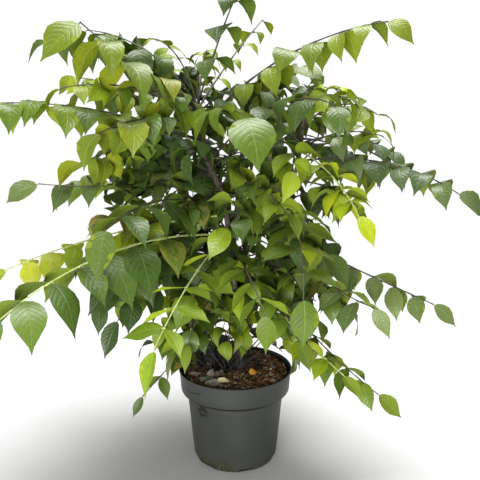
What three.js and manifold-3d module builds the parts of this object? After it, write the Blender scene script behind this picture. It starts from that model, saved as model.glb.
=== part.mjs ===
// Potted blue sausage fruit: a young shrub of upright canes and long feather leaves
// in a ten-litre nursery pot. Millimetres, +Z up, origin at the middle of the pot's
// flat underside, -Y towards the front.

import * as THREE from 'three';
import { mergeVertices } from 'three/addons/utils/BufferGeometryUtils.js';
import Module from 'manifold-3d';

const wasm = await Module();
wasm.setup();

const CLEAR = 0.3;
const OVERLAP = 1e-6;
const GRIDS = [0.01, 0.02, 0.04];
const GRID_WELD = 0.25;
const WELD = 1e-4;
const DEGREE = Math.PI / 180;
const UP = new THREE.Vector3(0, 0, 1);
const TUBE_HINT = new THREE.Vector3(0, 1, 0.01);

// Pot: a round container with a straight collar and a step below it
const POT = {
  height: 236,
  rimRadius: 140,
  rimLip: 4,
  lipDepth: 5,
  collarFoot: 183,
  collarFootRadius: 134.8,
  shoulder: 173,
  shoulderRadius: 119,
  bodyFoot: 15,
  bodyFootRadius: 104.3,
  cornerRise: 5,
  cornerRadius: 100,
  footRadius: 96,
  wall: 2.6,
  floor: 3.4,
  sides: 36,
};
const NOTCH = { count: 6, first: -73, width: 44, depth: 16, rise: 9 };

// Soil: fills the pot to just under the rim, level round the foot of the stem
const SOIL = { edge: 221, slope: 224.6, crown: 227, level: 42, slopeRadius: 92, seam: 0.5, sides: 36 };

// Canes: each a tapering limb through a few guide points (mm)
const STEMS = {
  trunk: {
    guides: [[12, 4, 0], [12, 4, 20], [7, 2, 110], [-1, 0, 200], [-12, 2, 300], [-17, 0, 372],
      [-33, 0, 452], [-60, 0, 512], [-71, 0, 555], [-81, 0, 606], [-86, 0, 652]],
    foot: 15,
    flare: 34,
    crowding: 1.5,
    low: 9.5,
    tip: 5.6,
    sides: 9,
    steps: 16,
    colour: 0x6f6152,
  },
  bough_right: {
    from: ['trunk', 285],
    guides: [[38, 12, 340], [66, 16, 440], [100, 18, 560], [132, 12, 680], [152, 2, 770], [158, -4, 850]],
    low: 6.2,
    tip: 3.6,
    sides: 6,
    steps: 10,
    colour: 0x6a5a4a,
  },
  bough_back: {
    from: ['trunk', 330],
    guides: [[2, 40, 400], [-2, 88, 520], [6, 124, 650], [22, 142, 780], [28, 150, 880]],
    low: 6.0,
    tip: 3.6,
    sides: 6,
    steps: 10,
    colour: 0x66584a,
  },
  bough_left: {
    from: ['trunk', 380],
    guides: [[-40, 30, 440], [-84, 52, 550], [-118, 74, 660], [-138, 92, 770]],
    low: 5.4,
    tip: 3.4,
    sides: 6,
    steps: 9,
    colour: 0x66584a,
  },
};

// Leaf stalk: swollen where it joins the cane, slender to its tip
const STALK = { heel: 3.6, flare: 14, low: 2.3, tip: 1.15, steps: 7, sides: 3 };
// Leaflet: shares of its length and width at the shoulder and the waist
const LEAFLET = {
  shoulder: 0.25,
  shoulderWidth: 0.46,
  waist: 0.6,
  waistWidth: 0.42,
  middle: 0.42,
  slim: 0.58,
  thick: 0.045,
  curl: 0.5,
  guard: 0.5,
};
// Pairs of leaflets up a stalk, largest midway, and the single one at its end
const PAIRS = { bare: 0.32, ease: 0.9, small: 0.84, swell: 0.2, endShare: 0.995, endSize: 0.96 };

// Leaves that show at the front and sides: where each leaves its cane (height above the
// ground), its heading, the rise of its stalk at the heel and at the tip, and its sizes
const SHOWN = [
  { cane: 'trunk', at: 876, turn: -28, rise: 69, fall: 62, reach: 350, pairs: 4, blade: 92, hang: 38 },
  { cane: 'trunk', at: 866, turn: 45, rise: 49, fall: 38, reach: 300, pairs: 4, blade: 56, hang: 46 },
  { cane: 'trunk', at: 825, turn: -26, rise: 45, fall: 6,
    reach: 490, pairs: 6, blade: 92, hang: 50, slim: 0.56, roll: 40 },
  { cane: 'trunk', at: 798, turn: -138, rise: 42, fall: 35,
    reach: 391, pairs: 4, blade: 116, hang: 56, slim: 0.56, end: 1.05, roll: -30 },
  { cane: 'trunk', at: 788, turn: -160, rise: 24, fall: -3,
    reach: 480, pairs: 6, blade: 102, hang: 52, slim: 0.6, roll: -40 },
  { cane: 'trunk', at: 843, turn: 166, rise: 50, fall: -4,
    reach: 432, pairs: 4, blade: 88, hang: 54, end: 1.05, roll: -45 },
  { cane: 'trunk', at: 848, turn: -71, rise: 15, fall: -11,
    reach: 330, pairs: 3, blade: 98, hang: 56, slim: 0.8, end: 1.44 },
  { cane: 'trunk', at: 820, turn: -109, rise: 71, fall: -30,
    reach: 253, pairs: 2, blade: 94, hang: 46 },
  { cane: 'trunk', at: 721, turn: -173, rise: -11, fall: 7,
    reach: 401, pairs: 4, blade: 90, hang: 38, slim: 0.5, end: 1.25, roll: -50 },
  { cane: 'bough_left', at: 723, turn: -159, rise: -8, fall: 22,
    reach: 215, pairs: 3, blade: 62, hang: 36, roll: -20 },
  { cane: 'trunk', at: 620, turn: -163, rise: -2, fall: -21,
    reach: 515, pairs: 6, blade: 86, hang: 44, roll: -40 },
  { cane: 'trunk', at: 569, turn: -138, rise: 12, fall: -31,
    reach: 592, pairs: 6, blade: 124, hang: 36, slim: 0.54, roll: -30 },
  { cane: 'trunk', at: 627, turn: -137, sweep: 22, rise: 25, fall: -22,
    reach: 400, pairs: 4, blade: 106, hang: 34, roll: -10 },
  { cane: 'trunk', at: 578, turn: -106, sweep: -14, rise: -5, fall: -46,
    reach: 415, pairs: 5, blade: 90, hang: 8, slim: 0.56, end: 1.1 },
  { cane: 'trunk', at: 525, turn: -86, sweep: 17, rise: 21, fall: -40,
    reach: 362, pairs: 5, blade: 84, hang: 18, slim: 0.52 },
  { cane: 'bough_right', at: 625, turn: -84, rise: 22, fall: -90,
    reach: 343, pairs: 4, blade: 100, hang: 28, slim: 0.62, end: 1.25 },
  { cane: 'bough_right', at: 771, turn: -56, rise: -15, fall: -50,
    reach: 238, pairs: 4, blade: 84, hang: 34, slim: 0.55, roll: 25 },
  { cane: 'trunk', at: 742, turn: -34, sweep: -32, rise: 48, fall: -14,
    reach: 449, pairs: 4, blade: 92, hang: 42, roll: 20 },
  { cane: 'bough_right', at: 848, turn: 60, rise: 39, fall: -18,
    reach: 262, pairs: 4, blade: 60, hang: 46 },
  { cane: 'bough_right', at: 788, turn: 8, rise: 20, fall: -50,
    reach: 257, pairs: 4, blade: 80, hang: 40, roll: 40 },
  { cane: 'bough_right', at: 747, turn: -12, rise: 9, fall: -33,
    reach: 378, pairs: 5, blade: 98, hang: 44, slim: 0.6, roll: 45 },
  { cane: 'bough_right', at: 573, turn: -20, rise: -21, fall: -20,
    reach: 398, pairs: 5, blade: 88, hang: 38, roll: 45 },
  { cane: 'bough_right', at: 583, turn: -49, sweep: -12, rise: -38, fall: 4,
    reach: 350, pairs: 4, blade: 88, hang: 30, slim: 0.5, roll: 15 },
  { cane: 'bough_right', at: 463, turn: -25, rise: -49, fall: -31,
    reach: 389, pairs: 5, blade: 92, hang: 32, slim: 0.52, roll: 45 },
  { cane: 'trunk', at: 395, turn: -165, rise: -35, fall: -46,
    reach: 311, pairs: 3, blade: 62, hang: 30, slim: 0.48, roll: -45 },
  { cane: 'bough_left', at: 547, turn: -162, rise: 2, fall: -64,
    reach: 294, pairs: 4, blade: 98, hang: 46, roll: -30 },
  { cane: 'trunk', at: 440, turn: -122, rise: 12, fall: -66,
    reach: 225, pairs: 2, blade: 70, hang: 28 },
  { cane: 'trunk', at: 470, turn: -52, rise: 8, fall: -58, reach: 270, pairs: 3, blade: 80, hang: 32 },
  { cane: 'trunk', at: 508, turn: -152, rise: 29, fall: -37,
    reach: 300, pairs: 3, blade: 108, hang: 50, roll: -30 },
  { cane: 'trunk', at: 800, turn: 150, rise: 65, fall: 4,
    reach: 362, pairs: 5, blade: 76, hang: 38, roll: -30 },
  { cane: 'trunk', at: 850, turn: 128, rise: 74, fall: 0, reach: 300, pairs: 4, blade: 68, hang: 36 },
  { cane: 'trunk', at: 405, turn: -150, rise: 54, fall: -64,
    reach: 366, pairs: 4, blade: 92, hang: 42, roll: -30 },
  { cane: 'bough_right', at: 430, turn: -47, rise: -33, fall: -22,
    reach: 300, pairs: 3, blade: 82, hang: 24, slim: 0.52, roll: 25 },
  { cane: 'trunk', at: 850, turn: 80, rise: 70, fall: -5, reach: 280, pairs: 4, blade: 60, hang: 40 },
  { cane: 'bough_left', at: 758, turn: -170, rise: 65, fall: 4,
    reach: 310, pairs: 5, blade: 80, hang: 50, roll: -40 },
];

// Leaves that fill the sides and the back: each cane bears them up its length, turned
// by the golden angle within its own sector
const FILLED = [
  { cane: 'trunk', from: 450, to: 850, count: 4, centre: 100, spread: 130, reach: 390 },
  { cane: 'bough_right', from: 480, to: 790, count: 4, centre: 80, spread: 90, reach: 350 },
  { cane: 'bough_back', from: 450, to: 876, count: 6, centre: 104, spread: 170, reach: 360 },
  { cane: 'bough_left', from: 480, to: 766, count: 4, centre: 150, spread: 130, reach: 350 },
  { cane: 'trunk', from: 560, to: 740, count: 1, centre: -128, spread: 60, reach: 230 },
];
const GOLDEN_SHARE = 0.618034;
const FILL = {
  lowRise: 4,
  highRise: 56,
  ease: 1.3,
  lowFall: -60,
  highFall: -18,
  blade: 84,
  pairs: 5,
  hang: 40,
};
const FILL_SPREAD = { rise: 6, fall: 8, reach: 40, blade: 8, hang: 15 };
// How far apart the seeds of leaves, their leaflets and the sectors lie
const SEEDS = { leaf: 10, leaflet: 0.37, filled: 900, sector: 40, sectorTurn: 0.25 };
// What each chance value adds to the seed of its leaf or leaflet
const FILL_DRAWS = { rise: 0, fall: 7, reach: 3, blade: 5, hang: 9 };
const LEAFLET_DRAWS = { hang: 0, forward: 1, size: 2, roll: 4 };
const NOISE = { stride: 127.1, shift: 311.7, gain: 43758.5453 };
const RISE_EASE = 1.2;
const TERMINAL_HANG = 0.55;
const FORWARD = 16;
const SWAY = 15;
const ROLL = 16;
const TERMINAL_ROLL = 14;
const SIZE_SPREAD = 0.12;
const LOWEST_TIP = 24;

// A stalk that meets another is turned by these angles in turn, and a leaflet that meets
// a neighbour hangs by these further angles and is this much smaller
const RETRY_TURNS = [0, 6, -6, 12, -12, 18, -18];
const RETRY_HANGS = [
  { hang: 0, size: 1 },
  { hang: 16, size: 1 },
  { hang: -16, size: 0.96 },
  { hang: 28, size: 0.9 },
  { hang: -28, size: 0.84 },
];

const COLOURS = {
  pot: 0x4a524e,
  soil: 0x5a4034,
  leaves: [0x3f6b2c, 0x4f7f30, 0x6d9a3a, 0x37602c],
};
const ROUGHNESS = { pot: 0.55, soil: 0.95, cane: 0.85, leaf: 0.6 };

function noise(seed) {
  const wave = Math.sin(seed * NOISE.stride + NOISE.shift) * NOISE.gain;
  return wave - Math.floor(wave);
}

function spread(seed, amount) {
  return (2 * noise(seed) - 1) * amount;
}

function mix(low, high, share) {
  return low + (high - low) * share;
}

function solidOf(geometry) {
  const bare = geometry.clone();
  bare.deleteAttribute('normal');
  bare.deleteAttribute('uv');
  const merged = mergeVertices(bare, WELD);
  const vertProperties = new Float32Array(merged.attributes.position.array);
  const triVerts = new Uint32Array(merged.index.array);
  return new wasm.Manifold(new wasm.Mesh({ numProp: 3, vertProperties, triVerts }));
}

function geometryOf(solid) {
  const mesh = solid.getMesh();
  const geometry = new THREE.BufferGeometry();
  geometry.setAttribute('position', new THREE.BufferAttribute(new Float32Array(mesh.vertProperties), 3));
  geometry.setIndex(new THREE.BufferAttribute(new Uint32Array(mesh.triVerts), 1));
  return geometry;
}

function edgesPaired(corners) {
  const uses = new Map();
  corners.forEach((corner, index) => {
    const next = index % 3 === 2 ? corners[index - 2] : corners[index + 1];
    const edge = corner < next ? `${corner} ${next}` : `${next} ${corner}`;
    uses.set(edge, (uses.get(edge) ?? 0) + 1);
  });
  return [...uses.values()].every((count) => count === 2);
}

// The solid with its points drawn to a fine grid, so that no sliver of a face is left;
// nothing if it then doesn't close
function evened(solid, grid) {
  const mesh = solid.getMesh();
  const snapped = Float32Array.from(mesh.vertProperties, (value) => Math.round(value / grid) * grid);
  const geometry = new THREE.BufferGeometry();
  geometry.setAttribute('position', new THREE.BufferAttribute(snapped, 3));
  geometry.setIndex(new THREE.BufferAttribute(new Uint32Array(mesh.triVerts), 1));
  const merged = mergeVertices(geometry, grid * GRID_WELD);
  const corners = Array.from(merged.index.array);
  const kept = [];
  for (let first = 0; first < corners.length; first += 3) {
    const [a, b, c] = corners.slice(first, first + 3);
    if (a !== b && b !== c && c !== a) kept.push(a, b, c);
  }
  if (!edgesPaired(kept)) return null;
  const vertProperties = new Float32Array(merged.attributes.position.array);
  const closed = new wasm.Mesh({ numProp: 3, vertProperties, triVerts: new Uint32Array(kept) });
  return largest(new wasm.Manifold(closed));
}

function closedGeometry(points, faces) {
  const geometry = new THREE.BufferGeometry();
  const places = points.flatMap((point) => [point.x, point.y, point.z]);
  geometry.setAttribute('position', new THREE.Float32BufferAttribute(places, 3));
  geometry.setIndex(faces.flat());
  return geometry;
}

function lathe(profile, sides) {
  const outline = profile.map(([radius, height]) => new THREE.Vector2(radius, height));
  const geometry = new THREE.LatheGeometry(outline, sides);
  geometry.rotateX(Math.PI / 2);
  return geometry;
}

// Tube of changing radius round a list of places, closed at both ends
function taperedTube(places, radii, sides, firstFrame = null) {
  const points = [];
  const faces = [];
  let side = null;
  places.forEach((place, ring) => {
    const before = places[Math.max(ring - 1, 0)];
    const after = places[Math.min(ring + 1, places.length - 1)];
    const tangent = after.clone().sub(before).normalize();
    if (ring === 0 && firstFrame) tangent.copy(firstFrame);
    if (!side) side = TUBE_HINT.clone().cross(tangent).normalize();
    side.addScaledVector(tangent, -side.dot(tangent)).normalize();
    const other = tangent.clone().cross(side);
    for (let corner = 0; corner < sides; corner += 1) {
      const angle = (2 * Math.PI * corner) / sides;
      const point = place.clone();
      point.addScaledVector(side, radii[ring] * Math.cos(angle));
      point.addScaledVector(other, radii[ring] * Math.sin(angle));
      points.push(point);
    }
  });
  for (let ring = 0; ring < places.length - 1; ring += 1) {
    for (let corner = 0; corner < sides; corner += 1) {
      const here = ring * sides + corner;
      const next = ring * sides + ((corner + 1) % sides);
      faces.push([here, next, next + sides], [here, next + sides, here + sides]);
    }
  }
  const last = (places.length - 1) * sides;
  for (let corner = 1; corner < sides - 1; corner += 1) {
    faces.push([0, corner + 1, corner]);
    faces.push([last, last + corner, last + corner + 1]);
  }
  return closedGeometry(points, faces);
}

function potProfile() {
  const pot = POT;
  return [
    [0, 0],
    [pot.footRadius, 0],
    [pot.cornerRadius, pot.cornerRise],
    [pot.bodyFootRadius, pot.bodyFoot],
    [pot.shoulderRadius, pot.shoulder],
    [pot.collarFootRadius, pot.collarFoot],
    [pot.rimRadius - pot.rimLip / 2, pot.height - pot.lipDepth],
    [pot.rimRadius, pot.height - pot.lipDepth],
    [pot.rimRadius, pot.height],
    [pot.rimRadius - pot.rimLip, pot.height],
    [pot.collarFootRadius - pot.wall, pot.collarFoot + pot.wall],
    [pot.shoulderRadius - pot.wall, pot.shoulder + pot.wall],
    [pot.bodyFootRadius - pot.wall, pot.bodyFoot],
    [pot.footRadius - pot.wall, pot.floor],
    [0, pot.floor],
  ];
}

function notchTool(index) {
  const angle = (NOTCH.first + (index * 360) / NOTCH.count) * DEGREE;
  const box = new THREE.BoxGeometry(NOTCH.depth, NOTCH.width, 2 * NOTCH.rise);
  box.translate(POT.footRadius + NOTCH.depth / 2 - POT.wall, 0, 0);
  box.rotateZ(angle);
  return solidOf(box);
}

function buildPot() {
  let pot = solidOf(lathe(potProfile(), POT.sides));
  for (let index = 0; index < NOTCH.count; index += 1) {
    pot = pot.subtract(notchTool(index));
  }
  return pot;
}

function innerRadius(height) {
  const pot = POT;
  const inner = [
    [pot.footRadius, pot.floor],
    [pot.bodyFootRadius, pot.bodyFoot],
    [pot.shoulderRadius, pot.shoulder + pot.wall],
    [pot.collarFootRadius, pot.collarFoot + pot.wall],
    [pot.rimRadius - pot.rimLip + pot.wall, pot.height],
  ];
  const upper = Math.max(1, inner.findIndex(([, level]) => level >= height));
  const [[lowRadius, lowLevel], [highRadius, highLevel]] = [inner[upper - 1], inner[upper]];
  return mix(lowRadius, highRadius, (height - lowLevel) / (highLevel - lowLevel)) - pot.wall;
}

function buildSoil() {
  const foot = POT.floor + CLEAR + NOTCH.rise;
  const levels = [foot, POT.shoulder + POT.wall, POT.collarFoot + POT.wall, SOIL.edge];
  const wall = levels.map((level) => [innerRadius(level) - SOIL.seam, level]);
  const profile = [
    [0, POT.floor + CLEAR],
    [POT.footRadius - NOTCH.depth / 2, POT.floor + CLEAR],
    ...wall,
    [SOIL.slopeRadius, SOIL.slope],
    [SOIL.level, SOIL.crown],
    [0, SOIL.crown],
  ];
  return solidOf(lathe(profile, SOIL.sides));
}

const GROUND = SOIL.crown + CLEAR;

// Centre line of a cane, and its radius at a share of its length
function caneLine(name) {
  const cane = STEMS[name];
  const guides = cane.guides.map(([x, y, z]) => new THREE.Vector3(x, y, z));
  if (name === 'trunk') guides.forEach((guide) => guide.setZ(guide.z + GROUND));
  if (cane.from) guides.unshift(caneAtHeight(cane.from[0], cane.from[1]).place);
  return new THREE.CatmullRomCurve3(guides, false, 'centripetal');
}

function caneRadius(name, share) {
  const cane = STEMS[name];
  const taper = mix(cane.low, cane.tip, share);
  if (!cane.foot) return taper;
  return taper + (cane.foot - cane.low) * Math.exp(-share * cane.flare);
}

function caneAtHeight(name, height) {
  const line = caneLine(name);
  const halvings = 24;
  let low = 0;
  let high = 1;
  for (let step = 0; step < halvings; step += 1) {
    const middle = (low + high) / 2;
    if (line.getPointAt(middle).z < height) low = middle;
    else high = middle;
  }
  return { place: line.getPointAt(low), radius: caneRadius(name, low) };
}

function caneSolid(name, grown = 0) {
  const cane = STEMS[name];
  const line = caneLine(name);
  const steps = cane.steps;
  const shares = Array.from({ length: steps + 1 }, (_, step) => (step / steps) ** (cane.crowding ?? 1));
  const places = shares.map((share) => line.getPointAt(share));
  places.at(-1).addScaledVector(line.getTangentAt(1), grown);
  const radii = shares.map((share) => caneRadius(name, share) + grown);
  const firstFrame = cane.foot ? UP : null;
  return solidOf(taperedTube(places, radii, cane.sides, firstFrame));
}

function buildCanes() {
  const canes = { trunk: caneSolid('trunk') };
  const trunkGuard = caneSolid('trunk', CLEAR);
  Object.keys(STEMS).slice(1).forEach((name) => {
    canes[name] = largest(caneSolid(name).subtract(trunkGuard));
  });
  return canes;
}

function largest(solid) {
  const pieces = solid.decompose();
  return pieces.reduce((best, piece) => (piece.volume() > best.volume() ? piece : best));
}

// Centre line of a leaf: heading and rise turn evenly from heel to tip
function leafLine(leaf, turn) {
  const places = [caneAtHeight(leaf.cane, leaf.at).place];
  const tangents = [];
  for (let step = 0; step < STALK.steps; step += 1) {
    const share = (step + 0.5) / STALK.steps;
    const rise = mix(leaf.rise, leaf.fall, share ** RISE_EASE) * DEGREE;
    const heading = (turn + leaf.sweep * share) * DEGREE;
    const tangent = new THREE.Vector3(
      Math.cos(heading) * Math.cos(rise),
      Math.sin(heading) * Math.cos(rise),
      Math.sin(rise),
    );
    tangents.push(tangent);
    places.push(places[step].clone().addScaledVector(tangent, leaf.reach / STALK.steps));
  }
  tangents.push(tangents[STALK.steps - 1]);
  return { places, tangents };
}

function alongLeaf(line, share) {
  const step = Math.min(Math.floor(share * STALK.steps), STALK.steps - 1);
  const rest = share * STALK.steps - step;
  const place = line.places[step].clone().lerp(line.places[step + 1], rest);
  return { place, tangent: line.tangents[step].clone() };
}

function stalkRadius(share) {
  const heel = (STALK.heel - STALK.low) * Math.exp(-share * STALK.flare);
  return mix(STALK.low, STALK.tip, share) + heel;
}

function stalkSolid(line, grown = 0) {
  const radii = line.places.map((_, ring) => stalkRadius(ring / STALK.steps) + grown);
  return solidOf(taperedTube(line.places, radii, STALK.sides));
}

// Leaflet blade: a thin closed solid, ridged along its middle and curling down to its tip
// in a shallow arc
function bladeSolid(frame, length, slim, grown = 0) {
  const width = length * slim + 2 * grown;
  const thick = length * LEAFLET.thick + grown;
  const reach = length + grown;
  const at = (share, across, lift) => {
    const bend = LEAFLET.curl * share;
    const point = frame.root.clone();
    point.addScaledVector(frame.along, reach * share * (1 - (bend * bend) / 6));
    point.addScaledVector(frame.face, lift - reach * share * bend * 0.5);
    point.addScaledVector(frame.side, across);
    return point;
  };
  const shoulder = width * LEAFLET.shoulderWidth;
  const waist = width * LEAFLET.waistWidth;
  const under = -grown;
  const rim = [
    at(0, 0, under),
    at(LEAFLET.shoulder, shoulder, under),
    at(LEAFLET.waist, waist, under),
    at(1, 0, under),
    at(LEAFLET.waist, -waist, under),
    at(LEAFLET.shoulder, -shoulder, under),
  ];
  const points = [...rim, at(LEAFLET.middle, 0, thick)];
  const ridge = rim.length;
  const upper = rim.map((_, corner) => [corner, (corner + 1) % rim.length, ridge]);
  const lower = [[0, 5, 1], [1, 5, 4], [1, 4, 2], [2, 4, 3]];
  return solidOf(closedGeometry(points, [...upper, ...lower]));
}

// Directions of one leaflet: out to its side, forward along the leaf and hanging down
function leafletFrame(leaf, line, share, side, seed) {
  const { place, tangent } = alongLeaf(line, share);
  const level = tangent.clone().setZ(0).normalize();
  const out = level.clone().cross(UP).multiplyScalar(side);
  const droop = side === 0 ? leaf.hang * TERMINAL_HANG : leaf.hang;
  const hang = (droop + spread(seed + LEAFLET_DRAWS.hang, SWAY)) * DEGREE;
  const forward = (FORWARD + spread(seed + LEAFLET_DRAWS.forward, SWAY)) * DEGREE;
  const aside = out.clone().multiplyScalar(Math.cos(forward)).addScaledVector(level, Math.sin(forward));
  const ahead = tangent.clone().setZ(Math.min(tangent.z, 0)).normalize();
  const lean = side === 0 ? ahead : aside;
  const along = lean.multiplyScalar(Math.cos(hang)).addScaledVector(UP, -Math.sin(hang)).normalize();
  const outward = side === 0 ? level : out;
  const face = UP.clone().multiplyScalar(Math.cos(hang)).addScaledVector(outward, Math.sin(hang));
  face.addScaledVector(along, -face.dot(along)).normalize();
  const rollSeed = seed + LEAFLET_DRAWS.roll;
  const roll = side === 0 ? leaf.roll + spread(rollSeed, TERMINAL_ROLL) : spread(rollSeed, ROLL);
  face.applyAxisAngle(along, roll * DEGREE);
  return { root: place, along, face, side: along.clone().cross(face) };
}

function boxesMeet(first, second) {
  const axes = [0, 1, 2];
  return axes.every((axis) => first.min[axis] < second.max[axis] && second.min[axis] < first.max[axis]);
}

function clashes(solid, others) {
  const box = solid.boundingBox();
  const near = others.filter((other) => boxesMeet(box, other.box));
  return near.some((other) => solid.intersect(other.solid).volume() > OVERLAP);
}

function entry(owner, solid) {
  return { owner, solid, box: solid.boundingBox() };
}

function leafletPlan(leaf) {
  const plan = [];
  for (let pair = 0; pair < leaf.pairs; pair += 1) {
    const share = mix(PAIRS.bare, 1, (pair / leaf.pairs) ** PAIRS.ease);
    const midway = Math.sin((Math.PI * (pair + 1)) / (leaf.pairs + 1));
    const size = leaf.blade * (PAIRS.small + PAIRS.swell * midway);
    plan.push({ share, side: 1, size }, { share, side: -1, size });
  }
  plan.push({ share: PAIRS.endShare, side: 0, size: leaf.blade * PAIRS.endSize * leaf.end });
  return plan;
}

function filledLeaves() {
  return FILLED.flatMap((sector, index) => Array.from({ length: sector.count }, (_, order) => {
    const height = (order + 0.5) / sector.count;
    const turn = ((order + 1) * GOLDEN_SHARE + SEEDS.sectorTurn * index) % 1;
    const seed = SEEDS.filled + SEEDS.sector * index + order;
    const chance = (value) => spread(seed + FILL_DRAWS[value], FILL_SPREAD[value]);
    return {
      cane: sector.cane,
      at: mix(sector.from, sector.to, height),
      turn: sector.centre + (turn - 0.5) * sector.spread,
      rise: mix(FILL.lowRise, FILL.highRise, height ** FILL.ease) + chance('rise'),
      fall: mix(FILL.lowFall, FILL.highFall, height) + chance('fall'),
      reach: sector.reach + chance('reach'),
      pairs: FILL.pairs,
      blade: FILL.blade + chance('blade'),
      hang: FILL.hang + chance('hang'),
    };
  }));
}

function allLeaves() {
  return [...SHOWN, ...filledLeaves()].map((leaf, index) => ({
    slim: LEAFLET.slim,
    sweep: 0,
    end: 1,
    roll: 0,
    seed: SEEDS.leaf * index,
    ...leaf,
  }));
}

// Stalks first, each turned a little until it clears the rest
function placeStalks(leaves, limbs) {
  const placed = [];
  leaves.forEach((leaf, index) => {
    const caneGuard = caneSolid(leaf.cane, CLEAR);
    for (const turn of RETRY_TURNS) {
      const line = leafLine(leaf, leaf.turn + turn);
      const guard = largest(stalkSolid(line, LEAFLET.guard).subtract(caneGuard));
      const rest = [...limbs, ...placed.map((stalk) => stalk.body)];
      if (clashes(guard, rest)) continue;
      const solid = largest(stalkSolid(line).subtract(caneGuard));
      placed.push({ leaf, index, line, body: entry(index, solid) });
      break;
    }
  });
  return placed;
}

function placeLeaflets(stalks, limbs) {
  const blades = [];
  stalks.forEach((stalk) => {
    const strangers = [...limbs, ...stalks.filter((other) => other !== stalk).map((other) => other.body)];
    leafletPlan(stalk.leaf).forEach((plan, order) => {
      const seed = stalk.leaf.seed + order * SEEDS.leaflet;
      for (const attempt of RETRY_HANGS) {
        const leaf = { ...stalk.leaf, hang: stalk.leaf.hang + attempt.hang };
        const frame = leafletFrame(leaf, stalk.line, plan.share, plan.side, seed);
        const chance = spread(seed + LEAFLET_DRAWS.size, SIZE_SPREAD);
        const size = plan.size * attempt.size * (1 + chance);
        const guard = bladeSolid(frame, size, leaf.slim, LEAFLET.guard);
        if (guard.boundingBox().min[2] < LOWEST_TIP) continue;
        const others = blades.filter((blade) => blade.owner !== stalk.index);
        if (clashes(guard, strangers) || clashes(guard, others)) continue;
        blades.push(entry(stalk.index, bladeSolid(frame, size, leaf.slim)));
        break;
      }
    });
  });
  return blades;
}

function fused(whole, blade) {
  const joined = whole.add(blade);
  const grid = GRIDS.find((size) => evened(joined, size));
  return grid ? evened(joined, grid) : whole;
}

// A leaf: its blades fused to its stalk one by one, without any that wouldn't close
function leafSolid(stalk, blades) {
  const own = blades.filter((blade) => blade.owner === stalk.index);
  return own.reduce((whole, blade) => fused(whole, blade.solid), stalk.body.solid);
}

function addNode(group, name, solid, colour, roughness) {
  const material = new THREE.MeshStandardMaterial({ color: colour, roughness, metalness: 0 });
  const mesh = new THREE.Mesh(geometryOf(solid), material);
  mesh.name = name;
  group.add(mesh);
}

function buildPlant() {
  const group = new THREE.Group();
  const pot = buildPot();
  const soil = buildSoil();
  const canes = buildCanes();
  addNode(group, 'pot', pot, COLOURS.pot, ROUGHNESS.pot);
  addNode(group, 'soil', soil, COLOURS.soil, ROUGHNESS.soil);
  Object.entries(canes).forEach(([name, solid]) => {
    addNode(group, name, solid, STEMS[name].colour, ROUGHNESS.cane);
  });
  const limbs = [pot, soil, ...Object.values(canes)].map((solid) => entry(-1, solid));
  const stalks = placeStalks(allLeaves(), limbs);
  const blades = placeLeaflets(stalks, limbs);
  stalks.forEach((stalk, order) => {
    const name = `leaf_${String(order + 1).padStart(2, '0')}`;
    const colour = COLOURS.leaves[order % COLOURS.leaves.length];
    addNode(group, name, leafSolid(stalk, blades), colour, ROUGHNESS.leaf);
  });
  return group;
}

export default buildPlant();
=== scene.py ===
"""Dresses the potted blue sausage fruit: pot, soil, litter, canes, leaves and the studio round it."""

import math

import bpy
import numpy as np
from bpy.props import FloatProperty, FloatVectorProperty, IntProperty, PointerProperty
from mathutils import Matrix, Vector, noise
from mathutils.bvhtree import BVHTree


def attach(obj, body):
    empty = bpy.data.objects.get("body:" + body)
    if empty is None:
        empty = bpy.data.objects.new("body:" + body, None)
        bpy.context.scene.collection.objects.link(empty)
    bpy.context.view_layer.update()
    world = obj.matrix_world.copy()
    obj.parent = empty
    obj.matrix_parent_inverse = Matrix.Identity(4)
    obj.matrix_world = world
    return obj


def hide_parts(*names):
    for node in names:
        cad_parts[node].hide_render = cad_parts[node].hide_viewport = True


bl_info = {
    "name": "Potted blue sausage fruit",
    "version": (1, 0, 0),
    "blender": (4, 5, 0),
    "location": "3D View > Sidebar > Shrub",
    "description": "Builds the pot, soil, canes and leaves of a potted shrub, and its studio",
    "category": "Add Mesh",
}

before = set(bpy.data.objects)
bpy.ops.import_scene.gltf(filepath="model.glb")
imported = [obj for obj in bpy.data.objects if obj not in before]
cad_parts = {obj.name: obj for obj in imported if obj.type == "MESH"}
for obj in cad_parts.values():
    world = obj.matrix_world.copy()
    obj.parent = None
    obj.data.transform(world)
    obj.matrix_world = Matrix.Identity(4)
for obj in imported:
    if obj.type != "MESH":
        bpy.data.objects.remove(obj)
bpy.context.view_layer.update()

MM = 0.001
UP = np.array([0.0, 0.0, 1.0])

# Pot: outer and inner profile, radius and height in millimetres, from the foot up and down again
POT_OUTER = [
    (96.0, 0.0), (98.6, 1.6), (100.0, 5.0), (104.3, 15.0), (108.9, 62.0), (113.4, 112.0), (118.6, 168.0),
    (119.0, 173.0), (121.2, 174.6), (133.2, 181.4), (134.8, 184.4), (136.2, 203.0), (137.4, 222.0),
    (138.0, 230.6), (139.6, 231.4), (140.0, 232.6), (140.0, 234.8), (139.3, 236.0),
]
POT_INNER = [
    (137.2, 236.0), (136.2, 235.0), (135.6, 228.0), (132.3, 186.2), (130.6, 183.4), (118.4, 177.0),
    (116.4, 174.6), (101.7, 15.0), (93.4, 3.4),
]
POT_SIDES = 108
NOTCH = {"count": 6, "first": -73, "width": 44, "depth": 16, "rise": 9, "radius": 101.4, "rounding": 4,
         "segments": 3}

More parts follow.
